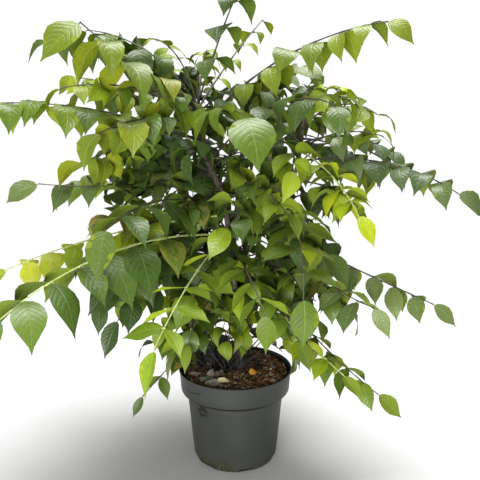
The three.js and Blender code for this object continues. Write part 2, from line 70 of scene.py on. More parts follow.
# Marks on the pot, as places in metres: a line is full at its core and ends at its edge
# The collar line is painted shade on the underside of the collar's flare
COLLAR_SHADE_LINE = {"middle": 0.178, "core": 0.0055, "edge": 0.0068}
# The crease gets painted shade along its fold
CREASE = {"middle": 0.2325, "core": 0.0006, "edge": 0.0020}
CREASE_SLANT, CREASE_LEFT, CREASE_FRONT = -0.25, (-0.076, -0.084), (-0.03, -0.05)
LINE_DEPTH = 0.95
SCUFF = {"place": (-0.078, -0.088, 0.158), "core": 0.010, "edge": 0.024}
# The walls inside the drain notches get painted shade
NOTCH_WALLS = {"radius": (0.0945, 0.0955), "height": (0.0085, 0.0095)}
STAIN = {"right": 0.02, "left": -0.03, "low": 0.008, "high": 0.042}
CLOUD = {"share": 0.35, "paler": 1.5}
DUST = {"share": 0.18, "low": 0.5, "up_to": 0.07}
POT_GRAIN = {"scale": 700.0, "share": 0.35}
POT_RINGS = ((4.0, 4.0, 220.0), 2.0)
POT_GLOSS = 0.3
# Dirt and painted shade: crust and scuffs are dirt; the crease's mark, the line under the collar and the
# notch walls are painted shade
POT_DIRT_AND_SHADE = {"crust": (0.012, 0.012, 0.007), "marks": (0.004, 0.004, 0.004), "line": (0.005, 0.005, 0.005),
            "notch": (0.006, 0.006, 0.005)}

# Soil: the bed's height falls from its crown to the pot's wall, and its lumps have a length, a place in
# the noise and a height
SOIL_LEVELS = [(0, 229.0), (42, 230.0), (92, 229.0), (132, 226.0)]
SOIL_LUMPS = [(17, 3.0, 1.5), (6, 9.0, 0.8)]
SOIL_DISC = {"sides": 96, "radius": 131.2, "height": 221, "insets": 30, "inset": 4.2, "lumpy": 130}
SOIL_COLOURS = {"hollow": (0.024, 0.014, 0.010), "crumb": (0.120, 0.062, 0.036),
                "patch": (0.11, 0.065, 0.042)}
PATCH_SHARE = 0.4

# Bark chips: each finish with its colour and share; where they lie and how their sizes vary
CHIP_COLOURS = {
    "Chip russet": ((0.420, 0.165, 0.078), 0.36),
    "Chip brown": ((0.240, 0.110, 0.058), 0.25),
    "Chip dark": ((0.040, 0.027, 0.020), 0.19),
    "Chip tan": ((0.900, 0.680, 0.460), 0.10),
    "Chip grey": ((0.800, 0.700, 0.560), 0.10),
}
CHIP_FURROW = 0.45
CHIPS = {"seed": 41, "bed": 127, "wall": 130.5, "foot": 12, "spread": 0.42, "lengths": (0.4, 2.6),
         "widths": (0.18, 0.45), "heights": (0.6, 1.8), "jitter": (0.7, 1.15), "tilt": 0.28,
         "lift": (-0.4, 3.0)}

# The litter behind the trunk is nearly black, and so are most chips near it
DARK_SPOT = (-26, 38)
DARK_CHIPS = {"away": [45, 85], "shares": [0.85, 0.0]}

# Dry leaves: the first three lie about, and the last two are the named scraps
DRY_LEAVES = {"Dry leaf tan": (0.33, 0.235, 0.15), "Dry leaf grey": (0.36, 0.33, 0.28),
              "Dry leaf brown": (0.12, 0.07, 0.045), "Dry leaf black": (0.040, 0.037, 0.035),
              "Dry leaf straw": (0.80, 0.68, 0.46), "Dry leaf amber": (0.80, 0.40, 0.08)}
DRY_SHARES = [0.45, 0.35, 0.2]
GREY_SHADE, BLACK_SHADE = 1, 3
LITTER = {"seed": 77, "blade_seed": 5000.0, "from": 0.45, "inner": 22, "width": 92, "heap": 26, "turn": 1.6,
          "slim": (0.35, 0.75), "length": (24, 42), "back": 12, "tone": 0.5}
RIM_SPOT, RIM_HEAP = (-58, -92), 13
# The two scraps that catch the eye, straw and amber: place, heading, lean to the front, slimness, length
NAMED_SCRAPS = [((-34, -84), 0.1, 0.55, 0.42, 38), ((40, -44), 0.7, 0.85, 0.72, 30)]
HEAP_LIFT = {"scrap": (3.0, 5.5), "black": (3.0, 58.0), "named": 9.0}
HEAP_TILT = {"scrap": 0.22, "black": 0.7}
SCRAP_REACH = 110
INWARD_FROM = 85

# Dead twigs: where they stand, how they lean and bend, and their thickness
TWIG = {"seed": 19, "x": (-18, 26), "y": (20, 24), "buried": 4, "heights": (30, 165), "lean": 0.6,
        "bend": 0.55, "steps": 5, "thick": (1.2, 2.8), "end": 0.45, "sides": 6}
TWIG_COLOURS = ((0.008, 0.007, 0.007), (0.026, 0.022, 0.020))

# Canes: guide points in millimetres, the trunk's above the ground, and radii at the foot, low down and
# at the tip
GROUND = 227.3
CANES = {
    "trunk": {
        "guides": [(12, 4, 0), (12, 4, 20), (7, 2, 110), (-1, 0, 200), (-12, 2, 300), (-17, 0, 372),
                   (-33, 0, 452), (-60, 0, 512), (-71, 0, 555), (-81, 0, 606), (-86, 0, 652)],
        "foot": 15.0, "low": 9.5, "tip": 5.6, "sides": 22,
    },
    "bough_right": {
        "start": 285,
        "guides": [(38, 12, 340), (66, 16, 440), (100, 18, 560), (132, 12, 680), (152, 2, 770),
                   (158, -4, 850)],
        "low": 6.2, "tip": 3.6, "sides": 16,
    },
    "bough_back": {
        "start": 330,
        "guides": [(2, 40, 400), (-2, 88, 520), (6, 124, 650), (22, 142, 780), (28, 150, 880)],
        "low": 6.0, "tip": 3.6, "sides": 16,
    },
    "bough_left": {
        "start": 380,
        "guides": [(-40, 30, 440), (-84, 52, 550), (-118, 74, 660), (-138, 92, 770)],
        "low": 5.4, "tip": 3.4, "sides": 16,
    },
}
CANE_FLARE = 34
# Two guides at one place count as this far apart, so that nothing is divided by zero
LEAST_GAP = 1e-4
CANE_TIP = {"from": 0.975, "length": 0.025, "blunt": 0.03}
RING_STEP = 4.0
TANGENT_STEP = 0.004
# Bark relief: waves round the cane, their length along it and their height as a share of its radius
BARK_WAVES = [(2.4, 21, 0.075), (6.0, 8, 0.05)]
BARK_SEED_STEP = 10.0
SCAR = {"height": 0.17, "reach": 3.4}
PORES = {"scale": 170.0, "ramp": (0.12, 0.2, 1.0, 0.0), "share": 0.6, "relief": 0.4}
FLAKE_SHARE = 0.45
# The canes are painted darker low down in the crown, for the shade there: the heights in metres between
# which the painted shade fades, and its shares there
BARK_PAINTED_SHADE = (0.26, 0.42, 0.8, 0.0)
BARK_COLOURS = {"flake": (0.27, 0.235, 0.19), "pore": (0.30, 0.25, 0.19), "shaded": (0.020, 0.016, 0.013)}

# Leaf rule, the same as the solids': stalk, leaflets in pairs and one at the end
STALK = {"heel": 3.6, "flare": 14, "low": 2.3, "tip": 1.15, "rule_steps": 7, "steps": 21, "sides": 5}
PAIRS = {"bare": 0.32, "ease": 0.9, "small": 0.84, "swell": 0.2, "end_share": 0.995, "end_size": 0.96}
RISE_EASE = 1.2
TERMINAL_HANG = 0.55
FORWARD, SWAY = 16, 15
ROLL, TERMINAL_ROLL = 16, 14
SIZE_SPREAD = 0.12
LOWEST_TIP = 24
RETRY_TURNS = [0, 6, -6, 12, -12, 18, -18]
RETRY_HANGS = [(0, 1.0), (16, 1.0), (-16, 0.96), (28, 0.9), (-28, 0.84)]
SLIM = 0.58
GOLDEN_SHARE = 0.618034
SEEDS = {"leaf": 10, "leaflet": 0.37, "filled": 900, "sector": 40, "sector_turn": 0.25}
# What a filled leaf and a leaflet draw at random: the number added to the seed for each draw
FILL_DRAWS = {"rise": 0, "reach": 3, "blade": 5, "fall": 7, "hang": 9, "height": 11, "tint": 13}
LEAFLET_DRAWS = {"hang": 0, "forward": 1, "length": 2, "roll": 4, "tone": 31, "age": 32}
# How a leaflet's blade varies: the number added to the seed, and the lowest and the highest value
BLADE_DRAWS = {
    "width": (21, 0.86, 1.1), "bend": (22, 0.6, 1.4), "twist": (23, -0.45, 0.45), "fold": (24, -0.2, 1.5),
    "phase": (25, 0, 1), "ripple": (26, 0.0, 0.025), "sickle": (27, -0.08, 0.08), "swing": (28, -0.2, 0.2),
}
# A stalk finds its solid by these of its rings, which may lie no further off than this on the whole
MATCH_RINGS, MATCH_GAP = slice(2, 7), 4.0
# Stalks swell where a pair joins, and a leaflet's own short stalk runs on into its blade
JOINT = {"swell": 0.45, "reach": 0.024}
PETIOLULE = {"overlap": 2.0, "shares": (0.0, 0.55, 1.0), "radii": [1.25, 0.8, 0.7], "sides": 4}
# The few leaflets that age: above this draw they yellow, and how fast; a yellow leaf does from this share on
AGEING = {"above": 0.97, "gain": 22}
AGEING_FROM = 0.7

# Shown leaves: cane, height, heading, sweep, rise at heel and tip, reach, pairs, blade, hang, slimness, tint
# and, where they aren't plain, the size and the roll of the leaflet at the end
SHOWN = [
    ("trunk", 876, -28, 0, 69, 62, 350, 4, 92, 38, SLIM, "dark"),
    ("trunk", 866, 45, 0, 49, 38, 300, 4, 56, 46, SLIM, "light"),
    ("trunk", 825, -26, 0, 45, 6, 490, 6, 92, 50, 0.56, "olive", 1, 40),
    ("trunk", 798, -138, 0, 42, 35, 391, 4, 116, 56, 0.56, "olive", 1.05, -30),
    ("trunk", 788, -160, 0, 24, -3, 480, 6, 102, 52, 0.6, "green", 1, -40),
    ("trunk", 843, 166, 0, 50, -4, 432, 4, 88, 54, SLIM, "dark", 1.05, -45),
    ("trunk", 848, -71, 0, 15, -11, 330, 3, 98, 56, 0.8, "green", 1.44, 0),
    ("trunk", 820, -109, 0, 71, -30, 253, 2, 94, 46, SLIM, "olive"),
    ("trunk", 721, -173, 0, -11, 7, 401, 4, 90, 38, 0.5, "waxy", 1.25, -50),
    ("bough_left", 723, -159, 0, -8, 22, 215, 3, 62, 36, SLIM, "light", 1, -20),
    ("trunk", 620, -163, 0, -2, -21, 515, 6, 86, 44, SLIM, "yellow", 1, -40),
    ("trunk", 569, -138, 0, 12, -31, 592, 6, 124, 36, 0.54, "mid", 1, -30),
    ("trunk", 627, -137, 22, 25, -22, 400, 4, 106, 34, SLIM, "dark", 1, -10),
    ("trunk", 578, -106, -14, -5, -46, 415, 5, 90, 8, 0.56, "spring", 1.1, 0),
    ("trunk", 525, -86, 17, 21, -40, 362, 5, 84, 18, 0.52, "green"),
    ("bough_right", 625, -84, 0, 22, -90, 343, 4, 100, 28, 0.62, "green", 1.25, 0),
    ("bough_right", 771, -56, 0, -15, -50, 238, 4, 84, 34, 0.55, "bright", 1, 25),
    ("trunk", 742, -34, -32, 48, -14, 449, 4, 92, 42, SLIM, "dark", 1, 20),
    ("bough_right", 848, 60, 0, 39, -18, 262, 4, 60, 46, SLIM, "bright"),
    ("bough_right", 788, 8, 0, 20, -50, 257, 4, 80, 40, SLIM, "glaucous", 1, 40),
    ("bough_right", 747, -12, 0, 9, -33, 378, 5, 98, 44, 0.6, "glaucous", 1, 45),
    ("bough_right", 573, -20, 0, -21, -20, 398, 5, 88, 38, SLIM, "waxy", 1, 45),
    ("bough_right", 583, -49, -12, -38, 4, 350, 4, 88, 30, 0.5, "waxy", 1, 15),
    ("bough_right", 463, -25, 0, -49, -31, 389, 5, 92, 32, 0.52, "green", 1, 45),
    ("trunk", 395, -165, 0, -35, -46, 311, 3, 62, 30, 0.48, "dark", 1, -45),
    ("bough_left", 547, -162, 0, 2, -64, 294, 4, 98, 46, SLIM, "deep", 1, -30),
    ("trunk", 440, -122, 0, 12, -66, 225, 2, 70, 28, SLIM, "green"),
    ("trunk", 470, -52, 0, 8, -58, 270, 3, 80, 32, SLIM, "green"),
    ("trunk", 508, -152, 0, 29, -37, 300, 3, 108, 50, SLIM, "deep", 1, -30),
    ("trunk", 800, 150, 0, 65, 4, 362, 5, 76, 38, SLIM, "green", 1, -30),
    ("trunk", 850, 128, 0, 74, 0, 300, 4, 68, 36, SLIM, "light"),
    ("trunk", 405, -150, 0, 54, -64, 366, 4, 92, 42, SLIM, "deep", 1, -30),
    ("bough_right", 430, -47, 0, -33, -22, 300, 3, 82, 24, 0.52, "bright", 1, 25),
    ("trunk", 850, 80, 0, 70, -5, 280, 4, 60, 40, SLIM, "light"),
    ("bough_left", 758, -170, 0, 65, 4, 310, 5, 80, 50, SLIM, "light", 1, -40),
]

# Sectors of further leaves up each cane: cane, lowest, highest, count, middle heading, its spread, reach
FILLED = [
    ("trunk", 450, 850, 4, 100, 130, 390),
    ("bough_right", 480, 790, 4, 80, 90, 350),
    ("bough_back", 450, 876, 6, 104, 170, 360),
    ("bough_left", 480, 766, 4, 150, 130, 350),
    ("trunk", 560, 740, 1, -128, 60, 230),
]
FILL = {"low_rise": 4, "high_rise": 56, "ease": 1.3, "low_fall": -60, "high_fall": -18, "blade": 84,
        "pairs": 5, "hang": 40}
FILL_SPREAD = {"rise": 6, "fall": 8, "reach": 40, "blade": 8, "hang": 15, "height": 0}
FILL_TINTS = ["dark", "green", "light", "deep", "waxy"]

# Inner leaves, shorter, that close the crown round the canes
INNER = [
    ("trunk", 400, 876, 31, 0, 360, 205),
    ("bough_right", 420, 846, 27, 0, 360, 190),
    ("bough_back", 420, 876, 26, 0, 360, 200),
    ("bough_left", 450, 768, 20, 0, 360, 185),
    ("trunk", 345, 430, 9, 100, 230, 190),
    ("trunk", 770, 876, 12, 160, 150, 290),
    ("bough_left", 700, 768, 8, 175, 150, 240),
    ("bough_right", 760, 846, 5, 20, 180, 215),
    ("trunk", 305, 350, 8, 98, 190, 200),
]
INNER_FILL = {"low_rise": -4, "high_rise": 50, "low_fall": -58, "high_fall": -12, "hang": 50}
INNER_SPREAD = {"rise": 22, "fall": 18, "reach": 60, "blade": 14, "hang": 20, "height": 8}
INNER_TINTS = ["deep", "dark", "green", "dark", "light", "mid", "green", "olive"]
INNER_SEED = 3000
INNER_LOOSE = 2.8
INNER_BARE = 0.45
# Inner leaflets near their heel stand in shade, which is painted on: up to this share of the stalk they take
# the darker tint
SHADED_UNTIL = 0.62
SHADED = {"light": "green", "olive": "mid", "green": "dark", "mid": "dark", "dark": "deep"}

# Leaves low down lie flat; those high up arch off their stalks and hang limp
LIMP = {"heights": [540, 720], "curls": [0.45, 1.0], "drops": [0.25, -0.1], "end_drops": [0.05, 0.25]}

# Tints: upper face, under face, stalk, all as linear colour. The under face is painted brighter and yellower,
# for the light that shines through the leaf
TINTS = {
    "deep": ((0.042, 0.080, 0.015), (0.105, 0.165, 0.026), "dusky"),
    "dark": ((0.068, 0.120, 0.019), (0.145, 0.210, 0.030), "dusky"),
    "glaucous": ((0.085, 0.130, 0.040), (0.155, 0.205, 0.045), "dusky"),
    "mid": ((0.092, 0.160, 0.022), (0.165, 0.240, 0.032), "pale"),
    "green": ((0.140, 0.213, 0.022), (0.220, 0.295, 0.032), "green"),
    "waxy": ((0.135, 0.195, 0.055), (0.210, 0.275, 0.052), "dusky"),
    "olive": ((0.172, 0.232, 0.020), (0.245, 0.300, 0.030), "dusky"),
    "light": ((0.235, 0.325, 0.026), (0.310, 0.390, 0.040), "green"),
    "spring": ((0.240, 0.360, 0.035), (0.330, 0.430, 0.045), "pale"),
    "bright": ((0.350, 0.460, 0.032), (0.420, 0.510, 0.050), "pale"),
    "yellow": ((0.470, 0.530, 0.050), (0.530, 0.560, 0.090), "pale"),
}
STALK_COLOURS = {"dusky": (0.040, 0.032, 0.020), "green": (0.058, 0.054, 0.026),
                 "pale": (0.380, 0.430, 0.150)}
PALER_BLOTCH = (1.6, 0.01)
STALK_GRAIN = (900.0, 2.0)

# Leaflet finishes: roughness, relief and gloss of each face, and how veins and tone vary
LEAF_FACES = {"upper": (0.40, 0.0012, 0.5), "under": (0.65, -0.0012, 0.12)}
DRY_FACE = (0.75, 0.0015)
LEAF_GLOSS = {"scale": 120.0, "low": 0.3, "high": 0.7, "less": 0.06, "more": 0.08}
PALER_VEIN = (1.5, 0.06)
VEINS = {"pairs": 8.0, "bow": 1.35, "slant": 2.3, "share": 0.30, "side": (0.0, 0.1, 1.0, 0.0),
         "fade": (0.55, 1.0, 0.6, 0.05), "midrib": (0.01, 0.09, 1.0, 0.0)}
LEAF_TONE = {"values": (0.69, 1.2), "hues": (0.512, 0.486), "saturation": 1.06, "rim": (0.35, 1.0)}
LEAF_MARKS = {"fleck": (0.46, 0.52, 0.34), "old": (0.42, 0.30, 0.05)}
# Noise over a leaf: scale, detail, and the ramp from its values to a shade
MOTTLE = {"noise": (55.0, 4.0), "ramp": (0.3, 0.7, -0.1, 0.1)}
FLECKS = {"noise": (620.0, 2.0), "ramp": (0.6, 0.68, 0.0, 0.2)}

# Patches of noise: scale, or one for each axis, low and high cut, detail and roughness
PATTERNS = {
    "pot cloud": (9.0, 0.35, 0.7, 5.0),
    "pot speck": (160.0, 0.56, 0.68, 4.0, 0.7),
    "pot stain": (60.0, 0.34, 0.52, 4.0),
    "pot crust": (170.0, 0.45, 0.51, 3.0, 0.6),
    "pot scuff": ((60.0, 60.0, 240.0), 0.44, 0.47),
    "compost crumb": (260.0, 0.35, 0.65, 5.0, 0.7),
    "compost patch": (45.0, 0.4, 0.6),
    "chip grain": ((520.0, 140.0, 520.0), 0.35, 0.65, 4.0),
    "twig grain": (300.0, 0.35, 0.65),
    "bark furrow": ((230.0, 230.0, 38.0), 0.36, 0.58, 5.0, 0.65),
    "bark flake": (70.0, 0.52, 0.66, 4.0),
    "stalk blotch": (140.0, 0.35, 0.65),
    "leaf wear": (90.0, 0.42, 0.62, 2.0),
}
# Finishes: roughness from one end of the pattern to the other, and strength and depth of the relief
ROUGH = {"pot": (0.48, 0.62), "compost": (0.78, 0.98), "chip": (0.7, 0.92), "twig": (0.7, 0.9),
         "bark": (0.92, 0.72), "stalk": (0.45, 0.6)}
RELIEF = {"pot": (0.25, 0.0008), "compost": (0.8, 0.003), "chip": (0.7, 0.0012), "twig": (0.5, 0.0008),
          "bark": (0.7, 0.0016), "stalk": (0.3, 0.0006)}
LEAF_RELIEF = 0.45

# Leaflet grid: shares of the length at each row, and of the half width at each column
ROWS = np.array([0.0, 0.05, 0.14, 0.27, 0.42, 0.58, 0.74, 0.88, 1.0])
COLUMNS = np.array([-1.0, -0.5, 0.0, 0.5, 1.0])
# A leaflet arches between these shares of its length, by a level part and by as much again as it hangs
ARCH = {"from": 0.02, "to": 0.72, "level": 0.3, "hanging": 1.0, "steps": 64}
# Its outline: how far the widest part lies towards the root, and how blunt and how drawn out it is
OUTLINE = {"shift": 0.76, "blunt": 0.78, "drawn": 0.9}
EDGE_WAVES = 1.6
FOLD_LINE = 0.35

# The coarse leaflet and stalk that keep neighbours clear of each other
BLADE_SHARES = np.array([0.0, 0.25, 0.6, 1.0, 0.6, 0.25, 0.45])
BLADE_SIDES = np.array([0.0, 0.46, 0.42, 0.0, -0.42, -0.46, 0.0])
BLADE_FACES = [(0, 1, 6), (1, 2, 6), (2, 3, 6), (3, 4, 6), (4, 5, 6), (5, 0, 6)]
COARSE_BEND = 0.5
BOX_MARGIN = 0.5
STALK_BOX = {"every": 4, "side": 1.8, "corner": 1.3}
STALK_BOX_FACES = [(0, 1, 4, 3), (1, 2, 5, 4), (2, 0, 3, 5)]
# Added to a direction so that a cross product with it is never nothing
NUDGE = 0.01

# Studio: floor, white backdrop, lights as place, size and share of the key's power, and camera
FLOOR = {"sides": 96, "radius": 1.4, "roughness": 0.9}
BACKDROP = 1.05
LIGHTS = {"Key": ((0.7, 1.1, 6.0), 4.2, 1.0), "Fill": ((-0.7, -3.4, 0.4), 1.6, 0.25)}
LIGHT_AIM = (0, 0, 0.6)
CAMERA = {"place": (0.012, -1.630, 0.938), "tip": 13.1, "sensor": 36.0, "lens": 52.5}

# A sine wave scaled up: the part after the point looks random and is the same on each run
HASH = {"pace": 127.1, "start": 311.7, "scale": 43758.5453}


def hashed(seed):
    wave = math.sin(seed * HASH["pace"] + HASH["start"]) * HASH["scale"]
    return wave - math.floor(wave)


def spread(seed, amount):
    return (2 * hashed(seed) - 1) * amount


def mix(low, high, share):
    return low + (high - low) * share


def unit(vector):
    return vector / np.linalg.norm(vector)


def turned(vector, axis, angle):
    """The vector turned about a unit axis by an angle in radians."""
    cosine, sine = math.cos(angle), math.sin(angle)
    return vector * cosine + np.cross(axis, vector) * sine + axis * np.dot(axis, vector) * (1 - cosine)


def scaled(colour, share, lift=0.0):
    return tuple(min(1.0, channel * share + lift) for channel in colour)


# Node helpers


class Nodes:
    """A node tree, with short names for the nodes that the materials use."""

    def __init__(self, tree):
        self.tree = tree
        self.place = None

    def feed(self, socket, value):
        """Links a socket, or sets it to a value; a colour gets its alpha."""
        if isinstance(value, bpy.types.NodeSocket):
            self.tree.links.new(value, socket)
        else:
            socket.default_value = (*value, 1.0) if socket.type == "RGBA" else value

    def put(self, kind, inputs=None, **settings):
        """A node with its settings, and its inputs set to values or linked to sockets."""
        node = self.tree.nodes.new(kind)
        for key, value in settings.items():
            setattr(node, key, value)
        for key, value in (inputs or {}).items():
            self.feed(node.inputs[key], value)
        return node

    def put_group(self, name, build, inputs):
        """The outputs of a shared node group, which is built the first time."""
        group = bpy.data.node_groups.get(name) or build(name)
        return self.put("ShaderNodeGroup", inputs, node_tree=group).outputs

    def axes(self, vector):
        return self.put("ShaderNodeSeparateXYZ", {"Vector": vector}).outputs

    def maths(self, operation, first, second=0.0):
        return self.put("ShaderNodeMath", {0: first, 1: second}, operation=operation).outputs[0]

    def times(self, first, second):
        return self.maths("MULTIPLY", first, second)

    def ramp(self, value, low, high, start=0.0, end=1.0, smooth=True):
        """The value mapped from low..high to start..end."""
        kind = "SMOOTHSTEP" if smooth else "LINEAR"
        inputs = {"Value": value, "From Min": low, "From Max": high, "To Min": start, "To Max": end}
        return self.put("ShaderNodeMapRange", inputs, interpolation_type=kind).outputs["Result"]

    def between(self, share, start, end):
        return self.ramp(share, 0.0, 1.0, start, end, False)

    def blend(self, share, first, second):
        inputs = {"Factor": share, 6: first, 7: second}
        return self.put("ShaderNodeMix", inputs, data_type="RGBA").outputs[2]

    def noise(self, scale, detail=3.0, roughness=0.55):
        """Noise over the piece, at one scale or at one for each axis."""
        place = self.place
        if isinstance(scale, tuple):
            place = self.put("ShaderNodeMapping", {"Vector": place, "Scale": scale}).outputs["Vector"]
            scale = 1.0
        inputs = {"Vector": place, "Scale": scale, "Detail": detail, "Roughness": roughness}
        return self.put("ShaderNodeTexNoise", inputs).outputs["Fac"]

    def patches(self, name):
        """Patches with soft edges: noise cut between a low and a high value."""
        scale, low, high, *rest = PATTERNS[name]
        return self.ramp(self.noise(scale, *rest), low, high)

    def line(self, value, middle, core, edge):
        """A line along which the value is at its middle."""
        away = self.maths("ABSOLUTE", self.maths("SUBTRACT", value, middle))
        return self.ramp(away, core, edge, LINE_DEPTH, 0.0)


class Finish(Nodes):
    """A new material with its shader, patterned by the place on the piece."""

    def __init__(self, name):
        self.material = bpy.data.materials.new(name)
        self.material.use_nodes = True
        super().__init__(self.material.node_tree)
        self.shader = self.tree.nodes["Principled BSDF"]
        self.place = self.put("ShaderNodeTexCoord").outputs["Object"]

    def done(self, colour, rough, relief, strength, distance):
        """The material, with its colour, roughness and relief linked."""
        bump = self.put("ShaderNodeBump", {"Height": relief, "Strength": strength, "Distance": distance})
        inputs = {"Base Color": colour, "Roughness": rough, "Normal": bump.outputs["Normal"]}
        for label, value in inputs.items():
            self.feed(self.shader.inputs[label], value)
        return self.material


def new_group(name, inputs, outputs):
    """A shader node group with named sockets: its nodes, and the sockets inside it."""
    group = bpy.data.node_groups.new(name, "ShaderNodeTree")
    for direction, sockets in (("INPUT", inputs), ("OUTPUT", outputs)):
        for label, kind in sockets.items():
            group.interface.new_socket(name=label, in_out=direction, socket_type=f"NodeSocket{kind}")
    return Nodes(group), group.nodes.new("NodeGroupInput").outputs, group.nodes.new("NodeGroupOutput").inputs


def vein_group(name):
    """Midrib and forward-running side veins on a leaflet's own map."""
    nodes, source, sink = new_group(name, {"Map": "Vector", "Pairs": "Float"},
                                    {"Veins": "Float", "Quilting": "Float", "Edge": "Float"})
    parts = nodes.axes(source["Map"])
    across = nodes.times(nodes.maths("ABSOLUTE", nodes.maths("SUBTRACT", parts["X"], 0.5)), 2.0)
    bowed = nodes.times(nodes.maths("POWER", across, VEINS["bow"]), VEINS["slant"])
    run = nodes.maths("SUBTRACT", nodes.times(parts["Y"], source["Pairs"]), bowed)
    wave = nodes.maths("PINGPONG", run, 0.5)
    side_veins = nodes.ramp(wave, *VEINS["side"])
    fade, midrib = nodes.ramp(across, *VEINS["fade"]), nodes.ramp(across, *VEINS["midrib"])
    veins = nodes.maths("MAXIMUM", midrib, nodes.times(side_veins, fade))
    nodes.feed(sink["Veins"], veins)
    nodes.feed(sink["Quilting"], nodes.maths("SUBTRACT", wave, veins))
    nodes.feed(sink["Edge"], across)
    return nodes.tree


def leaf_tone_group(name):
    """A leaf's plain colour, varied from leaflet to leaflet and yellowed where it is old."""
    inputs = {"Colour": "Color", "Vein colour": "Color", "Veins": "Float", "Edge": "Float", "Place": "Vector"}
    nodes, source, sink = new_group(name, inputs, {"Colour": "Color"})
    nodes.place = source["Place"]
    tone = nodes.put("ShaderNodeAttribute", attribute_name="tone").outputs["Fac"]
    age = nodes.put("ShaderNodeAttribute", attribute_name="age").outputs["Fac"]
    mottle = nodes.ramp(nodes.noise(*MOTTLE["noise"]), *MOTTLE["ramp"], False)
    hue = nodes.between(tone, *LEAF_TONE["hues"])
    value = nodes.maths("ADD", nodes.between(tone, *LEAF_TONE["values"]), mottle)
    shift = {"Hue": hue, "Saturation": LEAF_TONE["saturation"], "Value": value, "Color": source["Colour"]}
    varied = nodes.put("ShaderNodeHueSaturation", shift)
    veined = nodes.blend(nodes.times(source["Veins"], VEINS["share"]), varied.outputs["Color"],
                         source["Vein colour"])
    flecks = nodes.ramp(nodes.noise(*FLECKS["noise"]), *FLECKS["ramp"])
    flecked = nodes.blend(flecks, veined, LEAF_MARKS["fleck"])
    rim = nodes.ramp(source["Edge"], *LEAF_TONE["rim"])
    worn = nodes.times(nodes.maths("MAXIMUM", nodes.patches("leaf wear"), rim), age)
    nodes.feed(sink["Colour"], nodes.blend(worn, flecked, LEAF_MARKS["old"]))
    return nodes.tree


def leaf_material(name, colour, roughness, relief, gloss=0.3):
    """One face of a leaflet: base colour, paler veins, quilting and a soft waxy gloss."""
    finish = Finish(name)
    own_map = finish.put("ShaderNodeUVMap", uv_map="leaf").outputs["UV"]
    veins = finish.put_group("Leaf veins", vein_group, {"Map": own_map, "Pairs": VEINS["pairs"]})
    tone = finish.put_group("Leaf tone", leaf_tone_group, {
        "Colour": colour, "Vein colour": scaled(colour, *PALER_VEIN), "Veins": veins["Veins"],
        "Edge": veins["Edge"], "Place": finish.place})
    rough = finish.ramp(finish.noise(LEAF_GLOSS["scale"]), LEAF_GLOSS["low"], LEAF_GLOSS["high"],
                        roughness - LEAF_GLOSS["less"], roughness + LEAF_GLOSS["more"], False)
    finish.shader.inputs["Specular IOR Level"].default_value = gloss
    return finish.done(tone["Colour"], rough, veins["Quilting"], LEAF_RELIEF, relief)


def leaf_materials():
    """Upper and under materials of every tint, in the tints' order."""
    return [leaf_material(f"Leaf {label} {face}", colour, *LEAF_FACES[face])
            for label, (*colours, _) in TINTS.items() for face, colour in zip(LEAF_FACES, colours)]


def stalk_materials():
    materials = []
    for label, colour in STALK_COLOURS.items():
        finish = Finish(f"Stalk {label}")
        blotch = finish.patches("stalk blotch")
        blotched = finish.blend(blotch, colour, scaled(colour, *PALER_BLOTCH))
        rough = finish.between(blotch, *ROUGH["stalk"])
        materials.append(finish.done(blotched, rough, finish.noise(*STALK_GRAIN), *RELIEF["stalk"]))
    return materials


# Mesh helpers


def disc(name, sides, radius, height=0.0):
    """A new filled circle, the only thing selected, with its radius and height in metres."""
    bpy.ops.object.select_all(action="DESELECT")
    bpy.ops.mesh.primitive_circle_add(vertices=sides, radius=radius, fill_type="NGON",
                                      location=(0, 0, height))
    made = bpy.context.active_object
    made.name = name
    return made


def turn_outwards():
    """Ends edit mode with every face turned outwards."""
    bpy.ops.mesh.select_all(action="SELECT")
    bpy.ops.mesh.normals_make_consistent(inside=False)
    bpy.ops.object.mode_set(mode="OBJECT")


def mesh_piece(name, points, faces, materials, face_materials, maps=None, attributes=None):
    """A mesh object at the origin, in metres, from points, faces and each face's material."""
    mesh = bpy.data.meshes.new(name)
    mesh.from_pydata((np.asarray(points) * MM).tolist(), [], faces)
    for material in materials:
        mesh.materials.append(material)
    mesh.polygons.foreach_set("material_index", np.asarray(face_materials, dtype=np.int32))
    mesh.polygons.foreach_set("use_smooth", np.ones(len(faces), dtype=bool))
    if maps is not None:
        layer = mesh.uv_layers.new(name="leaf")
        layer.data.foreach_set("uv", np.asarray(maps, dtype=np.float32).ravel())
    for label, values in (attributes or {}).items():
        mesh.attributes.new(label, "FLOAT", "POINT").data.foreach_set("value", np.asarray(values, np.float32))
    mesh.update()
    piece = bpy.data.objects.new(name, mesh)
    bpy.context.scene.collection.objects.link(piece)
    return piece


def only(piece):
    bpy.ops.object.select_all(action="DESELECT")
    bpy.context.view_layer.objects.active = piece
    piece.select_set(True)


def finish_piece(piece, slot, *nodes, angle=40):
    """Shades a piece, seats it on the frame and hides the solids that it stands for."""
    only(piece)
    bpy.ops.object.shade_smooth_by_angle(angle=math.radians(angle))
    piece.select_set(False)
    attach(piece, "root")
    if nodes:
        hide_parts(*nodes)


def node_points(name):
    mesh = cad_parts[name].data
    points = np.empty(len(mesh.vertices) * 3)
    mesh.vertices.foreach_get("co", points)
    return points.reshape(-1, 3) / MM


def node_tree_of(name):
    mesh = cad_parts[name].data
    corners = [vertex.co / MM for vertex in mesh.vertices]
    return BVHTree.FromPolygons(corners, [tuple(face.vertices) for face in mesh.polygons])


# Cane shapes


